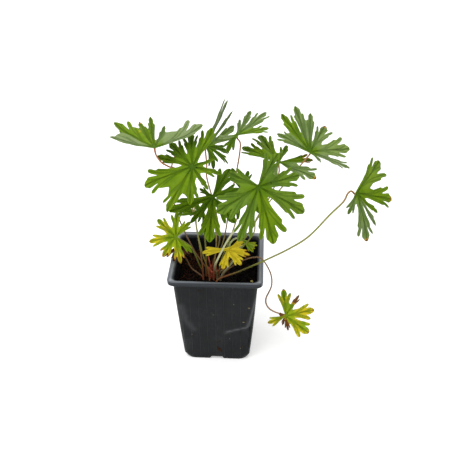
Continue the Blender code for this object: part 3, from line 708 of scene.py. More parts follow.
def make_scales(rng, count):
    """Papery pointed scales round the crown."""
    bm = bmesh.new()
    for k in range(count):
        start = rng.uniform(1.6, 5.2)
        tall = rng.uniform(8.0, 15.0) - start
        wide = rng.uniform(1.3, 2.4)
        sheet = bmesh.ops.create_grid(bm, x_segments=4, y_segments=8, size=0.5)["verts"]
        for vert in sheet:
            up = vert.co.y + 0.5
            breadth = wide * (1.0 - up ** 2.2) + 0.12
            side = vert.co.x * 2.0
            curl = 0.6 * side * side * breadth
            lean = start + curl * -0.6 + 2.4 * up ** 1.6
            vert.co = Vector((lean, side * breadth, tall * up - 1.0))
        spin = Matrix.Rotation(2.4 * k + rng.uniform(-0.3, 0.3), 4, "Z")
        bmesh.ops.transform(bm, matrix=Matrix.Translation(CROWN_PLACE) @ spin, verts=sheet)
    lifted, _ = extrude_faces(bm)
    bmesh.ops.scale(bm, vec=(1.03, 1.03, 1.0), verts=lifted,
                    space=Matrix.Translation(-CROWN_PLACE))
    bmesh.ops.recalc_face_normals(bm, faces=bm.faces)
    return bm


def crown_finish(name, dark, light, rough):
    look = Finish(name, Roughness=rough)
    streaks = look.noise(420.0, 4.0, 0.6, look.stretched((1.0, 1.0, 0.25)))
    look.base = look.mix(look.ease(streaks, 0.3, 0.7), dark, light)
    look.press(streaks, 0.0006)
    return look.done()


rootstock = crown_finish("rootstock", (0.2, 0.025, 0.012), (0.6, 0.11, 0.045), 0.6)
papery = crown_finish("papery_scale", (0.19, 0.024, 0.01), (0.62, 0.13, 0.05), 0.7)
crown = finish_piece("crown_body", make_crown(random.Random(8)), [rootstock], ["crown"])
scales = finish_piece("crown_scales", make_scales(random.Random(9), 34), [papery])
print("crown", len(crown.data.polygons), "faces; scales", len(scales.data.polygons), "faces")

# %% Feed grain
low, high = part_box("feed_bead")
bm = bmesh.new()
grain = rough_ball(bm, 1.5, 4, 0.05, 1.3)
bmesh.ops.translate(bm, vec=(low + high) / 2.0 / MM - Vector((0.0, 0.0, 0.3)), verts=grain)
shell = Finish("feed_coat", Roughness=0.3)
shell.base = shell.mix(shell.noise(900.0), (0.42, 0.36, 0.07), (0.72, 0.62, 0.22))
bead = finish_piece("feed_grain", bm, [shell.done()], ["feed_bead"])
print("grain", round(max(bead.dimensions) / MM, 1), "mm across")

# %% [markdown]
# ## The leaves
# A hardy geranium's leaf is palmate: long divisions, mostly five to eight, spread from the top of
# the stalk like fingers, and each is cut again into blunt lobes with a tooth or two. No stock shape
# looks like that, so each blade starts as a flat outline, worked out from one half division that
# is repeated, stretched and mirrored. The outline is filled with small triangles, bent in space,
# and then extruded a third of a millimetre to give it two faces and a rim.
# The letters after each division say how it looks: s has a painted grey sheen, p a stronger painted
# sheen, b a faint painted sheen that cools the green, d is deep green, f is fresh green, y is
# yellowing, t has a burnt tip, e burnt edges, w is withered brown, and wv is withered right down to
# the hub.

# %% Table of leaves
# Hub, lean of the face and the bearing it leans to, finish, then for each division its bearing in
# the leaf, length, rise of the tip as a share of the length, twist, the spread of its lobules on
# the clockwise side and on the other side, the depth of the cleft after it, and its look.
LEAVES = {
    "01": ((-47, -46, 240), 6, -90, "leaf_green", (
        (171, 38, 0.15, 0, 11, 6, 0.3, "p"), (143, 48, 0.12, 0, 15, 6, 0.85, "fy"),
        (116, 41, 0.1, 0, 5, 6, 0.7, "ft"), (102, 44, 0.1, 20, 5, 5, 0.65, "f"),
        (80, 29, 0.14, 0, 6, 6, 0.35, "s"), (32, 45, 0.18, 0, 8, 20, 0.75, "p"))),
    "02": ((-16, -48, 224), 36, -115, "leaf_green", (
        (-18, 26, -0.1, 0, 14, 6, 0.45, "f"), (-57, 26, -0.12, 0, 6, 6, 0.4, "f"),
        (-93, 33, -0.15, 0, 7, 16, 0.45, "f"), (-120, 43, -0.1, 0, 10, 8, 0.75, "f"),
        (-166, 45, -0.08, 0, 17, 18, 0.6, "f"), (155, 37, -0.05, 0, 7, 8, 0.25, "f"),
        (130, 35, -0.05, 0, 14, 13, 0.55, ""), (96, 34, 0.0, 0, 13, 14, 0.38, ""),
        (66, 39, 0.0, 0, 10, 15, 0.5, "f"), (16, 20, 0.0, 0, 8, 6, 0.25, "f"))),
    "03": ((-9, 8, 216), 30, -30, "leaf_deep_green", (
        (79, 54, 0.3, 62, 8, 10, 0.2, "p"), (69, 47, 0.3, 62, 9, 8, 0.4, "p"),
        (58, 44, 0.1, 20, 14, 10, 0.4, "s"), (24, 27, -0.2, 0, 16, 16, 0.35, "d"),
        (-8, 25, -0.3, 0, 14, 14, 0.35, "d"), (-55, 20, -0.35, 30, 16, 16, 0.3, "d"))),
    "04": ((18, 26, 220), 6, -90, "leaf_green", (
        (86, 26, 0.1, 10, 5, 6, 0.3, "p"), (74, 41, 0.1, 0, 6, 6, 0.6, "s"),
        (57, 48, 0.05, 0, 11, 9, 0.44, "s"), (26, 32, 0.0, 0, 20, 14, 0.6, "f"),
        (-113, 22, -0.3, 0, 16, 16, 0.3, "d"), (-150, 20, 0.1, 0, 16, 16, 0.4, "p"))),
    "05": ((85, 14, 210), 27, -90, "leaf_green", (
        (147, 36, 0.05, 0, 9, 14, 0.3, "s"), (121, 51, 0.0, 0, 13, 7, 0.75, "f"),
        (104, 56, 0.0, 0, 6, 8, 0.44, "s"), (89, 46, 0.0, 10, 6, 5, 0.75, "s"),
        (65, 33, 0.05, 0, 20, 12, 0.35, "syt"), (7, 36, 0.0, 0, 18, 22, 0.38, "fs"),
        (-27, 39, 0.0, -18, 9, 9, 0.45, "p"), (-50, 15, -0.1, -25, 10, 9, 0.4, "s"))),
    "06": ((57, 16, 198), 10, -90, "leaf_green", (
        (146, 42, 0.0, 0, 12, 15, 0.3, "f"), (113, 46, 0.0, 0, 12, 16, 0.55, "f"),
        (74, 28, 0.0, 0, 8, 13, 0.45, "fy"), (10, 32, 0.0, 0, 10, 14, 0.3, "fe"),
        (-37, 41, 0.0, 0, 16, 16, 0.5, "st"), (-111, 29, -0.1, 0, 16, 16, 0.3, "s"))),
    "07": ((39, -62, 214), 52, -76, "leaf_green", (
        (61, 33, -0.05, 0, 9, 19, 0.3, "b"), (19, 37, -0.1, 0, 15, 15, 0.48, "b"),
        (-25, 44, -0.12, 0, 15, 18, 0.28, "fb"), (-72, 48, -0.15, 0, 15, 18, 0.25, "f"),
        (-108, 47, -0.15, 0, 9, 12, 0.3, "b"), (-146, 40, -0.12, 0, 18, 18, 0.44, "b"),
        (157, 27, -0.05, 0, 16, 14, 0.55, "b"))),
    "08": ((-1, -32, 187), 44, -85, "leaf_deep_green", (
        (62, 31, -0.05, 0, 16, 18, 0.3, "d"), (20, 26, -0.1, 0, 16, 14, 0.35, "d"),
        (-47, 30, -0.15, 0, 18, 18, 0.3, "d"), (-92, 40, -0.12, 0, 16, 16, 0.3, "f"),
        (-128, 30, -0.1, 0, 10, 12, 0.35, "d"), (-160, 40, -0.1, 0, 14, 12, 0.35, ""),
        (149, 14, 0.0, 0, 14, 14, 0.4, "d"))),
    "09": ((-39, -6, 128), 46, -105, "leaf_yellow_green", (
        (91, 26, -0.05, 0, 10, 15, 0.36, "f"), (48, 20, -0.05, 0, 16, 16, 0.45, "f"),
        (138, 27, -0.08, 0, 14, 15, 0.35, "fy"), (-173, 28, -0.1, 0, 14, 16, 0.38, "fyt"),
        (-125, 23, -0.12, 0, 16, 16, 0.42, "fyte"), (-78, 26, -0.12, 0, 14, 14, 0.45, "fye"),
        (-43, 22, -0.1, 0, 9, 10, 0.5, "f"))),
    "10": ((-39, 2, 110), 20, -90, "leaf_russet", (
        (-147, 17, -0.1, 0, 17, 17, 0.3, ""), (-100, 15, -0.1, 0, 16, 16, 0.3, ""),
        (-27, 14, -0.1, 0, 18, 18, 0.3, ""))),
    "11": ((11, -20, 124), 30, -90, "leaf_yellow", (
        (-174, 24, -0.1, 0, 14, 14, 0.3, "f"), (-102, 20, -0.1, 0, 13, 16, 0.35, "ft"),
        (-48, 20, -0.1, 0, 15, 17, 0.45, "t"), (-12, 22, -0.1, 0, 11, 13, 0.6, "te"),
        (30, 17, 0.0, 0, 12, 16, 0.45, "f"))),
    "12": ((26, 16, 110), 20, -60, "leaf_yellow_green", (
        (152, 9, 0.0, 0, 20, 20, 0.3, "f"), (-14, 13, 0.0, 0, 18, 18, 0.3, "y"),
        (-56, 15, 0.0, 0, 16, 18, 0.3, "y"))),
    "13": ((68, -22, 49), 70, -80, "leaf_yellow_green", (
        (96, 27, -0.05, 0, 17, 16, 0.3, "fyt"), (62, 25, 0.15, 20, 9, 8, 0.5, "yw"),
        (10, 29, -0.05, 0, 20, 20, 0.35, "yt"), (-38, 31, -0.1, 0, 21, 18, 0.3, "fyt"),
        (-82, 14, 0.2, 40, 15, 15, 0.6, "wv"), (-118, 9, 0.5, 60, 16, 16, 0.6, "wv"),
        (-158, 19, -0.05, 0, 18, 20, 0.3, "yft"), (160, 8, 0.4, 50, 18, 18, 0.6, "wv"))),
    "14": ((125, -22, 188), 52, -50, "leaf_green", (
        (53, 44, 0.0, 0, 19, 13, 0.3, "bf"), (2, 41, -0.05, 0, 14, 17, 0.38, "ft"),
        (-32, 27, -0.05, 0, 7, 7, 0.34, "f"), (-50, 34, -0.05, -16, 6, 6, 0.5, "p"),
        (-68, 43, -0.15, 0, 20, 9, 0.35, "st"), (-113, 22, -0.1, 0, 16, 13, 0.45, "s"))),
    "15": ((25, -14, 182), 35, -90, "leaf_deep_green", (
        (114, 27, 0.0, 0, 13, 15, 0.3, "d"), (80, 23, 0.0, 0, 13, 13, 0.35, "d"),
        (177, 16, 0.0, 0, 16, 16, 0.35, "d"), (-113, 30, -0.1, 0, 16, 16, 0.3, "d"),
        (-49, 26, -0.1, 0, 16, 16, 0.3, "d"))),
    "16": ((-13, 2, 149), 35, -110, "leaf_deep_green", (
        (166, 27, 0.0, 0, 13, 16, 0.3, "d"), (128, 22, 0.0, 0, 13, 14, 0.35, "d"),
        (-79, 25, -0.1, 0, 16, 16, 0.3, "d"))),
}
print(len(LEAVES), "leaves,", sum(len(leaf[4]) for leaf in LEAVES.values()), "divisions")

# %% Outline of one division
# One side of a division, from its base to its tip: distance from the hub as a share of its length,
# and bearing from the midrib as a share of the lobule's spread. Short divisions have fewer teeth,
# and narrow ones are notched less deeply.
FULL_DIVISION = (
    (0.32, 1.0), (0.47, 0.98), (0.6, 1.06), (0.695, 1.12), (0.735, 0.94), (0.8, 1.02),
    (0.865, 1.06), (0.905, 0.94), (0.885, 0.78), (0.8, 0.62), (0.695, 0.45), (0.77, 0.42),
    (0.85, 0.46), (0.905, 0.44), (0.93, 0.3), (0.975, 0.2), (1.0, 0.07))
SMALL_DIVISION = (
    (0.32, 0.95), (0.52, 1.0), (0.7, 1.08), (0.83, 1.06), (0.89, 0.9), (0.83, 0.7),
    (0.71, 0.48), (0.83, 0.46), (0.94, 0.3), (1.0, 0.08))
NARROW_DIVISION = (
    (0.32, 1.0), (0.5, 1.0), (0.66, 1.1), (0.75, 1.12), (0.8, 0.96), (0.79, 0.72),
    (0.84, 0.62), (0.91, 0.6), (0.945, 0.4), (1.0, 0.1))
SIDE_VEINS = (((0.14, 0.0), (0.36, 0.45), (0.68, 0.98)), ((0.3, 0.0), (0.56, 0.52), (0.86, 0.88)),
              ((0.62, 0.0), (0.76, 0.1), (0.9, 0.28)))
MIDRIB = (0.0, 0.35, 0.7, 0.97)
# Lengths and spreads under which the two smaller shapes are used, and the widest part of a shape.
SMALL_BELOW, NARROW_BELOW, WIDEST = 31.5, 8.2, 1.1
# A gap wider than OPEN_SINUS degrees is open almost to the hub.
OPEN_SINUS, HUB_REACH = 62.0, 2.2
# Reach of the curve at a corner, and the spacing of points along outlines and veins.
ROUNDING, STEP = 1.1, 0.9


def in_leaf(bearing, radius):
    """Flat place at a bearing and a distance from the hub."""
    angle = math.radians(bearing)
    return Vector((radius * math.cos(angle), radius * math.sin(angle)))


def flat_leaf(number):
    """Divisions in order, outline, veins (midribs marked True) and the fold of each division."""
    divisions = sorted(LEAVES[number][4], key=lambda item: item[0] % 360.0)
    rng = random.Random(27 + int(number))
    count = len(divisions)
    gaps, squeezes, clefts = [], [], []
    for i in range(count):
        after = divisions[(i + 1) % count]
        gap = (after[0] - divisions[i][0]) % 360.0
        gaps.append(gap)
        squeezes.append(min(1.0, gap * 0.94 / ((divisions[i][5] + after[4]) * WIDEST)))
        shorter = min(divisions[i][1], after[1])
        clefts.append(HUB_REACH if gap > OPEN_SINUS else divisions[i][6] * shorter)
    outline, veins = [], []
    for i, (heading, length, _, _, low, high, _, _) in enumerate(divisions):
        sides = []
        shape = SMALL_DIVISION if length < SMALL_BELOW else FULL_DIVISION
        for spread, cleft in ((-low * squeezes[i - 1], clefts[i - 1]),
                              (high * squeezes[i], clefts[i])):
            teeth = NARROW_DIVISION if abs(spread) < NARROW_BELOW else shape
            sides.append([in_leaf(heading + spread * part, length * reach)
                          for reach, part in teeth if length * reach > cleft + 1.5])
            for vein in SIDE_VEINS:
                veins.append(([in_leaf(heading + spread * part, length * reach)
                               for reach, part in vein], False))
        outline += sides[0] + sides[1][::-1]
        veins.append(([in_leaf(heading, length * reach) for reach in MIDRIB], True))
        after = divisions[(i + 1) % count]
        parts = (0.32, 0.68) if gaps[i] > OPEN_SINUS else (high / (high + after[4]),)
        outline += [in_leaf(heading + gaps[i] * part, clefts[i]) for part in parts]
    folds = [rng.uniform(0.1, 0.28) for _ in divisions]
    return divisions, outline, veins, folds


def soften(points, reach):
    """Round every corner of a closed outline with a short curve."""
    smooth = []
    count = len(points)
    for i, corner in enumerate(points):
        before, after = points[i - 1], points[(i + 1) % count]
        cut_a = min(0.45, reach / max((before - corner).length, 1e-6))
        cut_b = min(0.45, reach / max((after - corner).length, 1e-6))
        a, b = corner.lerp(before, cut_a), corner.lerp(after, cut_b)
        for t in (0.0, 0.25, 0.5, 0.75, 1.0):
            smooth.append(a.lerp(corner, t).lerp(corner.lerp(b, t), t))
    return smooth


def evenly(points, spacing, closed):
    """Points about every `spacing` along a path."""
    ends = points[1:] + points[:1] if closed else points[1:]
    first, path = (0, []) if closed else (1, [points[0]])
    for a, b in zip(points, ends):
        steps = max(1, round((b - a).length / spacing))
        path += [a.lerp(b, s / steps) for s in range(first, first + steps)]
    return path


print("outline points of leaf 07:", len(evenly(soften(flat_leaf("07")[1], ROUNDING), STEP, True)))

# %% Fill a flat leaf with triangles
GRAIN, ROW_STEP = 1.15, 0.866


def to_array(points):
    return np.array([(p.x, p.y) for p in points], dtype=float)


def inside(points, ring):
    """Which points lie inside a closed ring."""
    x, y = points[:, 0], points[:, 1]
    within = np.zeros(len(points), bool)
    for (ax, ay), (bx, by) in zip(ring, np.roll(ring, -1, axis=0)):
        if ay == by:
            continue
        crosses = (ay > y) != (by > y)
        within ^= crosses & (x < (bx - ax) * (y - ay) / (by - ay) + ax)
    return within


def straight_pieces(paths):
    """Starts and ends of every straight piece of some paths."""
    return (np.vstack([to_array(path[:-1]) for path in paths]),
            np.vstack([to_array(path[1:]) for path in paths]))


def fill_leaf(outline, veins):
    """Flat corners, triangles, and each corner's distances to a vein, a midrib and the edge."""
    ring = to_array(outline)
    rim = ring, np.roll(ring, -1, axis=0)
    paths = [evenly(path, STEP, False) for path, _ in veins]
    lines = straight_pieces(paths)
    midribs = straight_pieces([path for path, is_midrib in veins if is_midrib])
    low, high = ring.min(axis=0), ring.max(axis=0)
    rows = range(int((high[1] - low[1]) / (GRAIN * ROW_STEP)) + 1)
    columns = range(int((high[0] - low[0]) / GRAIN) + 2)
    grid = np.array([(low[0] + GRAIN * (i + 0.5 * (j % 2)), low[1] + GRAIN * ROW_STEP * j)
                     for j in rows for i in columns])
    grid = grid[inside(grid, ring)]
    grid = grid[distance_to(grid, *rim) > 0.55 * GRAIN]
    grid = grid[distance_to(grid, *lines) > 0.5 * GRAIN]
    on_veins = np.vstack([to_array(path) for path in paths])
    on_veins = on_veins[inside(on_veins, ring)]
    on_veins = on_veins[distance_to(on_veins, *rim) > 0.4]
    points = outline + [Vector(p) for p in np.vstack([on_veins, grid])]
    edges = [(i, (i + 1) % len(outline)) for i in range(len(outline))]
    flat, _, triangles, _, _, _ = delaunay_2d_cdt(points, edges, [], 1, 1e-4)
    at = to_array(flat)
    return flat, triangles, zip(*[distance_to(at, *kind) for kind in (lines, midribs, rim)])


print("grain of the leaves", GRAIN, "mm")

# %% Bend a leaf
def leaf_axes(lean, towards):
    """Axes of a blade: across, up the blade, and out of its upper face."""
    lean, towards = math.radians(lean), math.radians(towards)
    normal = Vector((math.sin(lean) * math.cos(towards), math.sin(lean) * math.sin(towards),
                     math.cos(lean)))
    across = Vector((1.0, 0.0, 0.0))
    across = (across - normal * across.dot(normal)).normalized()
    return across, normal.cross(across), normal


def turned(angle):
    """The same bearing, between -180 and 180 degrees."""
    return (angle + 180.0) % 360.0 - 180.0


def bend_by(point, division, fold):
    """Where one division carries a flat point. It rises, folds up in a V and twists as it goes."""
    heading, length, rise, twist = division[:4]
    bearing = math.degrees(math.atan2(point.y, point.x))
    offset = math.radians(turned(bearing - heading))
    along, side = point.length * math.cos(offset), point.length * math.sin(offset)
    share = along / length
    start = ease((share - 0.12) / 0.4)
    roll = math.radians(twist) * start
    height = rise * length * share * abs(share)
    height += fold * abs(side) * start * math.cos(roll) + side * math.sin(roll)
    side *= math.cos(roll)
    angle = math.radians(heading)
    return Vector((along * math.cos(angle) - side * math.sin(angle),
                   along * math.sin(angle) + side * math.cos(angle), height)), share


def bend(point, divisions, folds):
    """Bend a point by its own division, with its neighbour's help close to the hub."""
    bearing = math.degrees(math.atan2(point.y, point.x))
    away = []
    for k, division in enumerate(divisions):
        offset = turned(bearing - division[0])
        away.append((abs(offset) / (division[5] if offset > 0.0 else division[4]), k))
    away.sort()
    (first, k), (second, m) = away[0], away[1]
    own, share = bend_by(point, divisions[k], folds[k])
    other, _ = bend_by(point, divisions[m], folds[m])
    part = first / max(first + second, 1e-6)
    help_from = 0.5 * ease((part - 0.15) / 0.35) * (1.0 - ease((share - 0.22) / 0.16))
    return own.lerp(other, help_from), k, share


print("leaf 07 faces", [round(value, 2) for value in leaf_axes(*LEAVES["07"][1:3])[2]])

# %% Put a leaf together
LEAF_THICKNESS, PUCKER, PUCKER_REACH = 0.36, 0.42, 1.9
# Waves of a blade: fineness, layer of noise, height, and share of the length that fills them.
WAVES = ((0.055, 0.0, 2.2, 0.8), (0.16, 5.0, 0.7, 0.5))
# Painted sheen and freshness that a look letter adds.
TONES = {"s": (0.55, 0.0), "p": (0.9, 0.0), "b": (0.22, 0.0), "d": (0.0, -1.0), "f": (0.0, 1.0)}
# Share of the length at which a sign of age begins, and the share it takes to show in full.
AGES = {"y": (0.15, 0.35), "t": (0.9, 0.1), "w": (0.45, 0.25), "v": (0.15, 0.15),
        "e": (0.6, 0.2)}


def thicken(bm):
    """Double a sheet and move the two apart. The upper side uses material 0, the rest 1."""
    sheet = list(bm.faces)
    bm.normal_update()
    under = [(vert, vert.normal.copy()) for vert in bm.verts]
    upper, top_faces = extrude_faces(bm)
    bm.normal_update()
    for vert, normal in under:
        vert.co -= normal * LEAF_THICKNESS / 2.0
    for vert in upper:
        vert.co += vert.normal * LEAF_THICKNESS / 2.0
    for face in bm.faces:
        face.material_index = 1
    for face in top_faces:
        face.material_index = 0
    bmesh.ops.reverse_faces(bm, faces=sheet)


def leaf_bmesh(number):
    """Finished blade in millimetres. Its corners carry what the leaf materials read."""
    hub, lean, towards, _, _ = LEAVES[number]
    divisions, corners, veins, folds = flat_leaf(number)
    flat, triangles, distances = fill_leaf(evenly(soften(corners, ROUNDING), STEP, True), veins)
    stand = Matrix(leaf_axes(lean, towards)).transposed()
    rng = random.Random(400 + int(number))
    phase = Vector((rng.uniform(0.0, 90.0), rng.uniform(0.0, 90.0), 0.0))
    bm = bmesh.new()
    lines, look, age = [bm.verts.layers.float_vector.new(name)
                        for name in ("lines", "look", "age")]
    verts = []
    for p, away in zip(flat, distances):
        bent, k, share = bend(p, divisions, folds)
        for fineness, layer, height, filled in WAVES:
            wave = noise.noise(Vector((p.x, p.y, layer)) * fineness + phase)
            bent.z += wave * height * ease(share / filled)
        bent.z += PUCKER * min(away[0], PUCKER_REACH) * (1.0 - 0.45 * ease(share))
        vert = bm.verts.new(Vector(hub) + stand @ bent)
        letters = divisions[k][7]
        # Painted sheen and freshness of each point, from its division's look letters.
        sheen, fresh = [sum(TONES[c][i] for c in letters if c in TONES)
                        * ease((share - 0.05) / 0.3) for i in (0, 1)]
        signs = {c: ease((share - begins) / takes) if c in letters else 0.0
                 for c, (begins, takes) in AGES.items()}
        vert[lines] = away
        vert[look] = (sheen, fresh, 0.0)
        vert[age] = (signs["y"], signs["t"] + signs["w"] + signs["v"],
                     signs["e"] * (1.0 - ease(away[2] / 1.5)))
        verts.append(vert)
    for triangle in triangles:
        bm.faces.new([verts[i] for i in triangle])
    thicken(bm)
    return bm


print("blades are", LEAF_THICKNESS, "mm thick")

# %% [markdown]
# ## Leaf surface
# One recipe makes every leaf colour. It starts with two greens mixed by a soft noise and a painted
# grey sheen, and then ages the blade: yellow creeps in between the veins first, brown at the tips
# last.
# Midribs and side veins are sunk on the upper face and painted darker there, as shade in the
# grooves, and stand proud and pale beneath.
# All of that reads attributes stored on the mesh, so it follows the leaf wherever it bends.

# %% Leaf materials
def leaf_finish(name, deep, fresh, crease_shade, under=False):
    look = Finish(name, Specular_IOR_Level=0.09)
    lines, tones, ages = [look.parts(look.reading(layer, "Vector"))
                          for layer in ("lines", "look", "age")]
    cloud, fine = look.noise(70.0, 4.0, 0.6), look.noise(420.0, 4.0, 0.6)
    look.base = look.mix(look.ease(cloud, 0.3, 0.7), deep, fresh)
    if "yellow" not in name:
        lively = look.times(look.ease(tones[1], 0.0, 1.0), look.ease(cloud, 0.25, 0.75, 0.2, 0.7))
        look.coat(lively, 1.0, (0.17, 0.275, 0.004))
    look.coat(look.ease(tones[1], 0.0, -1.0), 0.35, (0.05, 0.112, 0.002))
    # Painted grey sheen, mottled by noise, standing for soft light reflected off the leaf.
    sheen_mottle = look.ease(look.noise(150.0, 5.0, 0.7), 0.3, 0.7, 0.5, 0.88)
    look.coat(look.times(look.ease(tones[0], 0.0, 1.0), sheen_mottle), 1.0,
              (0.24, 0.32, 0.13) if under else (0.255, 0.312, 0.155))
    # A fine mottle in the same darker green.
    look.coat(look.ease(fine, 0.3, 0.8, 0.0, 0.14), 1.0, crease_shade)
    spread = (0.4, 0.56) if "yellow" in name else (0.6, 0.72)
    patch = look.ease(look.noise(95.0, 3.0, 0.6), *spread)
    between = look.plus(look.times(look.ease(lines[0], 0.0, 1.6), 0.5), 0.4)
    look.coat(look.times(ages[0], look.times(patch, between)), 1.0, (0.66, 0.52, 0.015))
    # On the upper face the sunk veins are painted darker, as shade in their grooves; beneath they
    # are pale, their own colour.
    drawn = look.math("MAXIMUM", look.times(look.ease(lines[0], 0.75, 0.05), 0.42),
                      look.times(look.ease(lines[1], 0.85, 0.1), 0.55))
    look.coat(drawn, 1.0, (0.34, 0.45, 0.2) if under else crease_shade)
    ragged = look.ease(look.noise(260.0, 3.0, 0.6), 0.2, 0.8, -0.18, 0.18)
    worn = look.plus(look.math("MAXIMUM", ages[1], ages[2]), ragged)
    look.coat(look.ease(worn, 0.28, 0.5), 0.8, (0.5, 0.27, 0.02))
    look.coat(look.ease(worn, 0.66, 0.9), 0.9, (0.12, 0.038, 0.01))
    out = -1.0 if under else 1.0
    look.press(look.noise(1500.0, 3.0, 0.6), 0.0001)
    look.press(look.times(look.ease(lines[0], 0.0, 0.9), out), 0.00035)
    look.press(look.times(look.ease(lines[1], 0.0, 1.2), out), 0.00045)
    return look.done(Roughness=look.ease(fine, 0.2, 0.8, 0.44, 0.62))


# Deep tone, fresh tone, and the colour of the painted shade in the creases.
GREENS = {
    "leaf_green": ((0.074, 0.152, 0.002), (0.122, 0.22, 0.002), (0.024, 0.066, 0.001)),
    "leaf_deep_green": ((0.072, 0.152, 0.001), (0.125, 0.222, 0.001), (0.024, 0.066, 0.001)),
    "leaf_yellow_green": ((0.15, 0.26, 0.004), (0.31, 0.43, 0.006), (0.07, 0.13, 0.003)),
    "leaf_yellow": ((0.68, 0.55, 0.018), (0.92, 0.74, 0.035), (0.48, 0.34, 0.01)),
    "leaf_russet": ((0.07, 0.018, 0.008), (0.19, 0.055, 0.018), (0.035, 0.01, 0.005)),
}
leaf_looks = {name: (leaf_finish(name, *tones), leaf_finish(name + "_under", *tones, under=True))
              for name, tones in GREENS.items()}
for number, leaf in LEAVES.items():
    piece = finish_piece("leaf_" + number, leaf_bmesh(number), leaf_looks[leaf[3]],
                         ["blade_" + number])
    print(piece.name, len(piece.data.polygons), "faces")

# %% [markdown]
# ## The stalks
# Each leaf hangs on a long thin stalk, under two millimetres thick. Most are orange-brown at the
# foot, olive or brown along the way and redder near the leaf, and a few are pale straw. A stalk is
# a sweep: one ring of twelve points is carried along a smooth path by extruding it and moving the
# new ring from one frame to the next. Short downy hairs, each a three-sided spike, are stood on it.

# %% Table of stalks
# Bearing and distance of the foot from the crown, finish, then the points the stalk passes through.
STALKS = {
    "01": (-150, 10.0, "stem_red", (
        (-17, -9, 127), (-23, -13, 173), (-31, -28, 209), (-37, -42, 221), (-42, -45, 226),
        (-46, -45, 232))),
    "02": (-112, 6.4, "stem_olive", (
        (-14, -11, 115), (-18, -13, 140), (-18, -19, 158), (-18, -34, 192))),
    "03": (104, 6.4, "stem_red", ((2, 1, 121), (-1, 2, 152), (-9, 5, 186), (-9, 6, 199))),
    "04": (68, 6.4, "stem_red", ((7, 6, 124), (12, 14, 158), (18, 22, 187), (21, 26, 210))),
    "05": (18, 10.0, "stem_olive", (
        (12, -1, 96), (24, 1, 113), (35, 3, 129), (38, 4, 146), (58, 8, 173), (76, 11, 197))),
    "06": (32, 6.4, "stem_olive", ((15, 3, 103), (33, 9, 131), (50, 14, 164), (57, 16, 186))),
    "07": (-40, 6.4, "stem_pale", ((-1, -22, 105), (4, -38, 128), (16, -43, 156), (34, -54, 187))),
    "08": (-76, 6.4, "stem_red", ((-2, -11, 106), (0, -12, 129), (-1, -22, 163))),
    "09": (164, 10.0, "stem_olive", ((-18, -3, 95), (-24, -3, 112), (-29, -5, 120))),
    "10": (-172, 10.0, "stem_brown", ((-26, 1, 87), (-32, 4, 97))),
    "11": (-34, 10.0, "stem_pale", (
        (15, -13, 105), (22, -10, 122), (20, -9, 130), (14, -12, 128))),
    "12": (44, 10.0, "stem_pale", ((10, 4, 89), (18, 12, 99))),
    "13": (-10, 10.0, "stem_brown", (
        (12, -6, 93), (27, -8, 105), (39, -12, 111), (45, -15, 109), (52, -19, 97),
        (53, -21, 84), (48, -23, 70), (50, -24, 61), (57, -24, 55))),
    "14": (-62, 10.0, "stem_olive", (
        (22, -15, 96), (46, -23, 115), (69, -24, 130), (86, -24, 144), (103, -23, 166),
        (114, -22, 179), (117, -22, 187), (120, -22, 190))),
    "15": (-4, 6.4, "stem_olive", ((4, -6, 102), (12, -9, 127), (21, -13, 160))),
    "16": (176, 6.4, "stem_olive", ((-11, -3, 105), (-12, 0, 128))),
    "17": (140, 6.4, "stem_brown", (
        (-24, 6, 106), (-39, 14, 140), (-45, 18, 174), (-42, 19, 195), (-34, 20, 213))),
}
STOUT_STALKS = ("07", "11", "14")
SLIM, STOUT, THICKER_BY, FOOT_SWELL, TOP_SWELL = 0.66, 0.82, 0.05, 0.35, 0.18
SPACING, SIDES = 1.6, 12
HAIR_LENGTH, HAIR_RADIUS = 0.9, 0.045
print(len(STALKS), "stalks")

# %% Path of a stalk
def curve_through(points, spacing):
    """Smooth path that starts upright, with a point about every `spacing` millimetres."""
    first, second = points[:2]
    upright = Vector((second.x, second.y, 2.0 * first.z - second.z))
    padded = [upright] + points + [points[-1] * 2.0 - points[-2]]
    path = [points[0]]
    for i in range(1, len(padded) - 2):
        a, b, c, d = padded[i - 1:i + 3]
        steps = max(2, round((c - b).length / spacing))
        for s in range(1, steps + 1):
            t = s / steps
            path.append(0.5 * ((2.0 * b) + (c - a) * t
                               + (2.0 * a - 5.0 * b + 4.0 * c - d) * t * t
                               + (3.0 * b - a - 3.0 * c + d) * t * t * t))
    return path


def stalk_path(number):
    """Path of a stalk from its foot in the soil to the underside of its leaf."""
    bearing, distance, _, through = STALKS[number]
    angle = math.radians(bearing)
    x = CROWN_PLACE.x + distance * math.cos(angle)
    y = CROWN_PLACE.y + distance * math.sin(angle)
    points = [Vector((x, y, SOIL_TOP + 0.5))] + [Vector(p) for p in through]
    foot = Vector((x, y, SOIL_TOP - 5.5))
    ends = []
    if number in LEAVES:
        hub, lean, towards, _, _ = LEAVES[number]
        normal = leaf_axes(lean, towards)[2]
        below, *ends = [Vector(hub) - normal * depth for depth in (2.9, 1.2, 0.1)]
        points.append(below)
    return [foot] + curve_through(points, SPACING) + ends


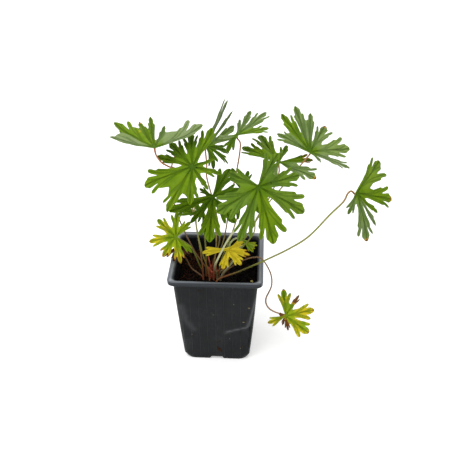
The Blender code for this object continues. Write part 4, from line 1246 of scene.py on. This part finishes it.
def sweep(bm, path, radii, layer):
    """Carry a ring along a path; `layer` stores the share of the way along."""
    ring = bmesh.ops.create_circle(bm, cap_ends=True, segments=SIDES, radius=1.0)["verts"]
    edges = list(bm.edges)
    lengths = [0.0]
    for a, b in zip(path, path[1:]):
        lengths.append(lengths[-1] + (b - a).length)
    across = Vector((0.0, 1.0, 0.0)).cross((path[1] - path[0]).normalized()).normalized()
    frames = []
    for i, point in enumerate(path):
        ahead = (path[min(i + 1, len(path) - 1)] - path[max(i - 1, 0)]).normalized()
        across = (across - ahead * across.dot(ahead)).normalized()
        aim = Matrix((across, ahead.cross(across), ahead)).transposed().to_4x4()
        widen = Matrix.Diagonal((radii[i], radii[i], 1.0, 1.0))
        frames.append(Matrix.Translation(point) @ aim @ widen)
    bmesh.ops.transform(bm, matrix=frames[0], verts=ring)
    for last, here, length in zip(frames, frames[1:], lengths[1:]):
        ring, edges = extrude_ring(bm, edges)
        bmesh.ops.transform(bm, matrix=here @ last.inverted(), verts=ring)
        for vert in ring:
            vert[layer] = length / lengths[-1]
    bmesh.ops.edgeloop_fill(bm, edges=edges)
    return frames


def stalk_bmesh(number):
    """One stalk, swollen a little at both ends, with downy hairs."""
    path = stalk_path(number)
    last = len(path) - 1
    bm = bmesh.new()
    layer = bm.verts.layers.float.new("way")
    slimmest = STOUT if number in STOUT_STALKS else SLIM
    radii = []
    for t in (i / last for i in range(last + 1)):
        swell = FOOT_SWELL * hump(t, 0.0, 0.03)
        if number in LEAVES:
            swell += TOP_SWELL * hump(t, 1.0, 0.02)
        radii.append(slimmest + THICKER_BY * t + swell)
    frames = sweep(bm, path, radii, layer)
    rng = random.Random(70 + int(number))
    for _ in range(4 * last):
        k = rng.randrange(4, last)
        spike = taper(bm, 3, HAIR_RADIUS, 0.0, HAIR_LENGTH)
        tilt = rotation(90.0 + rng.uniform(-30, 30), "Y")
        stand = any_spin(rng) @ tilt @ Matrix.Translation((0.0, 0.0, radii[k] + 0.4))
        even = Matrix.Translation(frames[k].translation) @ frames[k].to_3x3().normalized().to_4x4()
        bmesh.ops.transform(bm, matrix=even @ stand, verts=spike)
        for vert in spike:
            vert[layer] = k / last
    bmesh.ops.recalc_face_normals(bm, faces=bm.faces)
    return bm


print("stalk 14 is swept through", len(stalk_path("14")), "rings")

# %% Stalk materials
# Colours of the foot, the middle and the top, and the share of the way where the top begins.
STALK_COLOURS = {
    "stem_red": ((0.36, 0.09, 0.04), (0.25, 0.19, 0.06), (0.38, 0.13, 0.05), 0.6),
    "stem_olive": ((0.36, 0.13, 0.05), (0.23, 0.235, 0.045), (0.33, 0.13, 0.06), 0.84),
    "stem_pale": ((0.38, 0.34, 0.17), (0.46, 0.47, 0.25), (0.3, 0.38, 0.1), 0.7),
    "stem_brown": ((0.26, 0.12, 0.05), (0.24, 0.13, 0.06), (0.33, 0.18, 0.08), 0.7),
}


def stalk_finish(name, foot, middle, top, turns_at):
    look = Finish(name, Roughness=0.5, Specular_IOR_Level=0.25)
    streak = look.noise(300.0, 3.0, 0.6, look.stretched((1.0, 1.0, 0.2)))
    way = look.plus(look.reading("way"), look.ease(streak, 0.2, 0.8, -0.05, 0.05))
    look.base = look.mix(look.ease(way, 0.06, 0.26), foot, middle)
    look.coat(look.ease(way, turns_at, 0.98), 1.0, top)
    look.coat(look.ease(streak, 0.45, 0.8, 0.0, 0.25), 1.0, (0.4, 0.36, 0.17))
    look.press(streak, 0.0002)
    return look.done()


stalk_looks = {name: stalk_finish(name, *colours) for name, colours in STALK_COLOURS.items()}
for number, stalk in STALKS.items():
    piece = finish_piece("stalk_" + number, stalk_bmesh(number), [stalk_looks[stalk[2]]],
                         ["stem_" + number])
print("stalks made, the last with", len(piece.data.polygons), "faces")
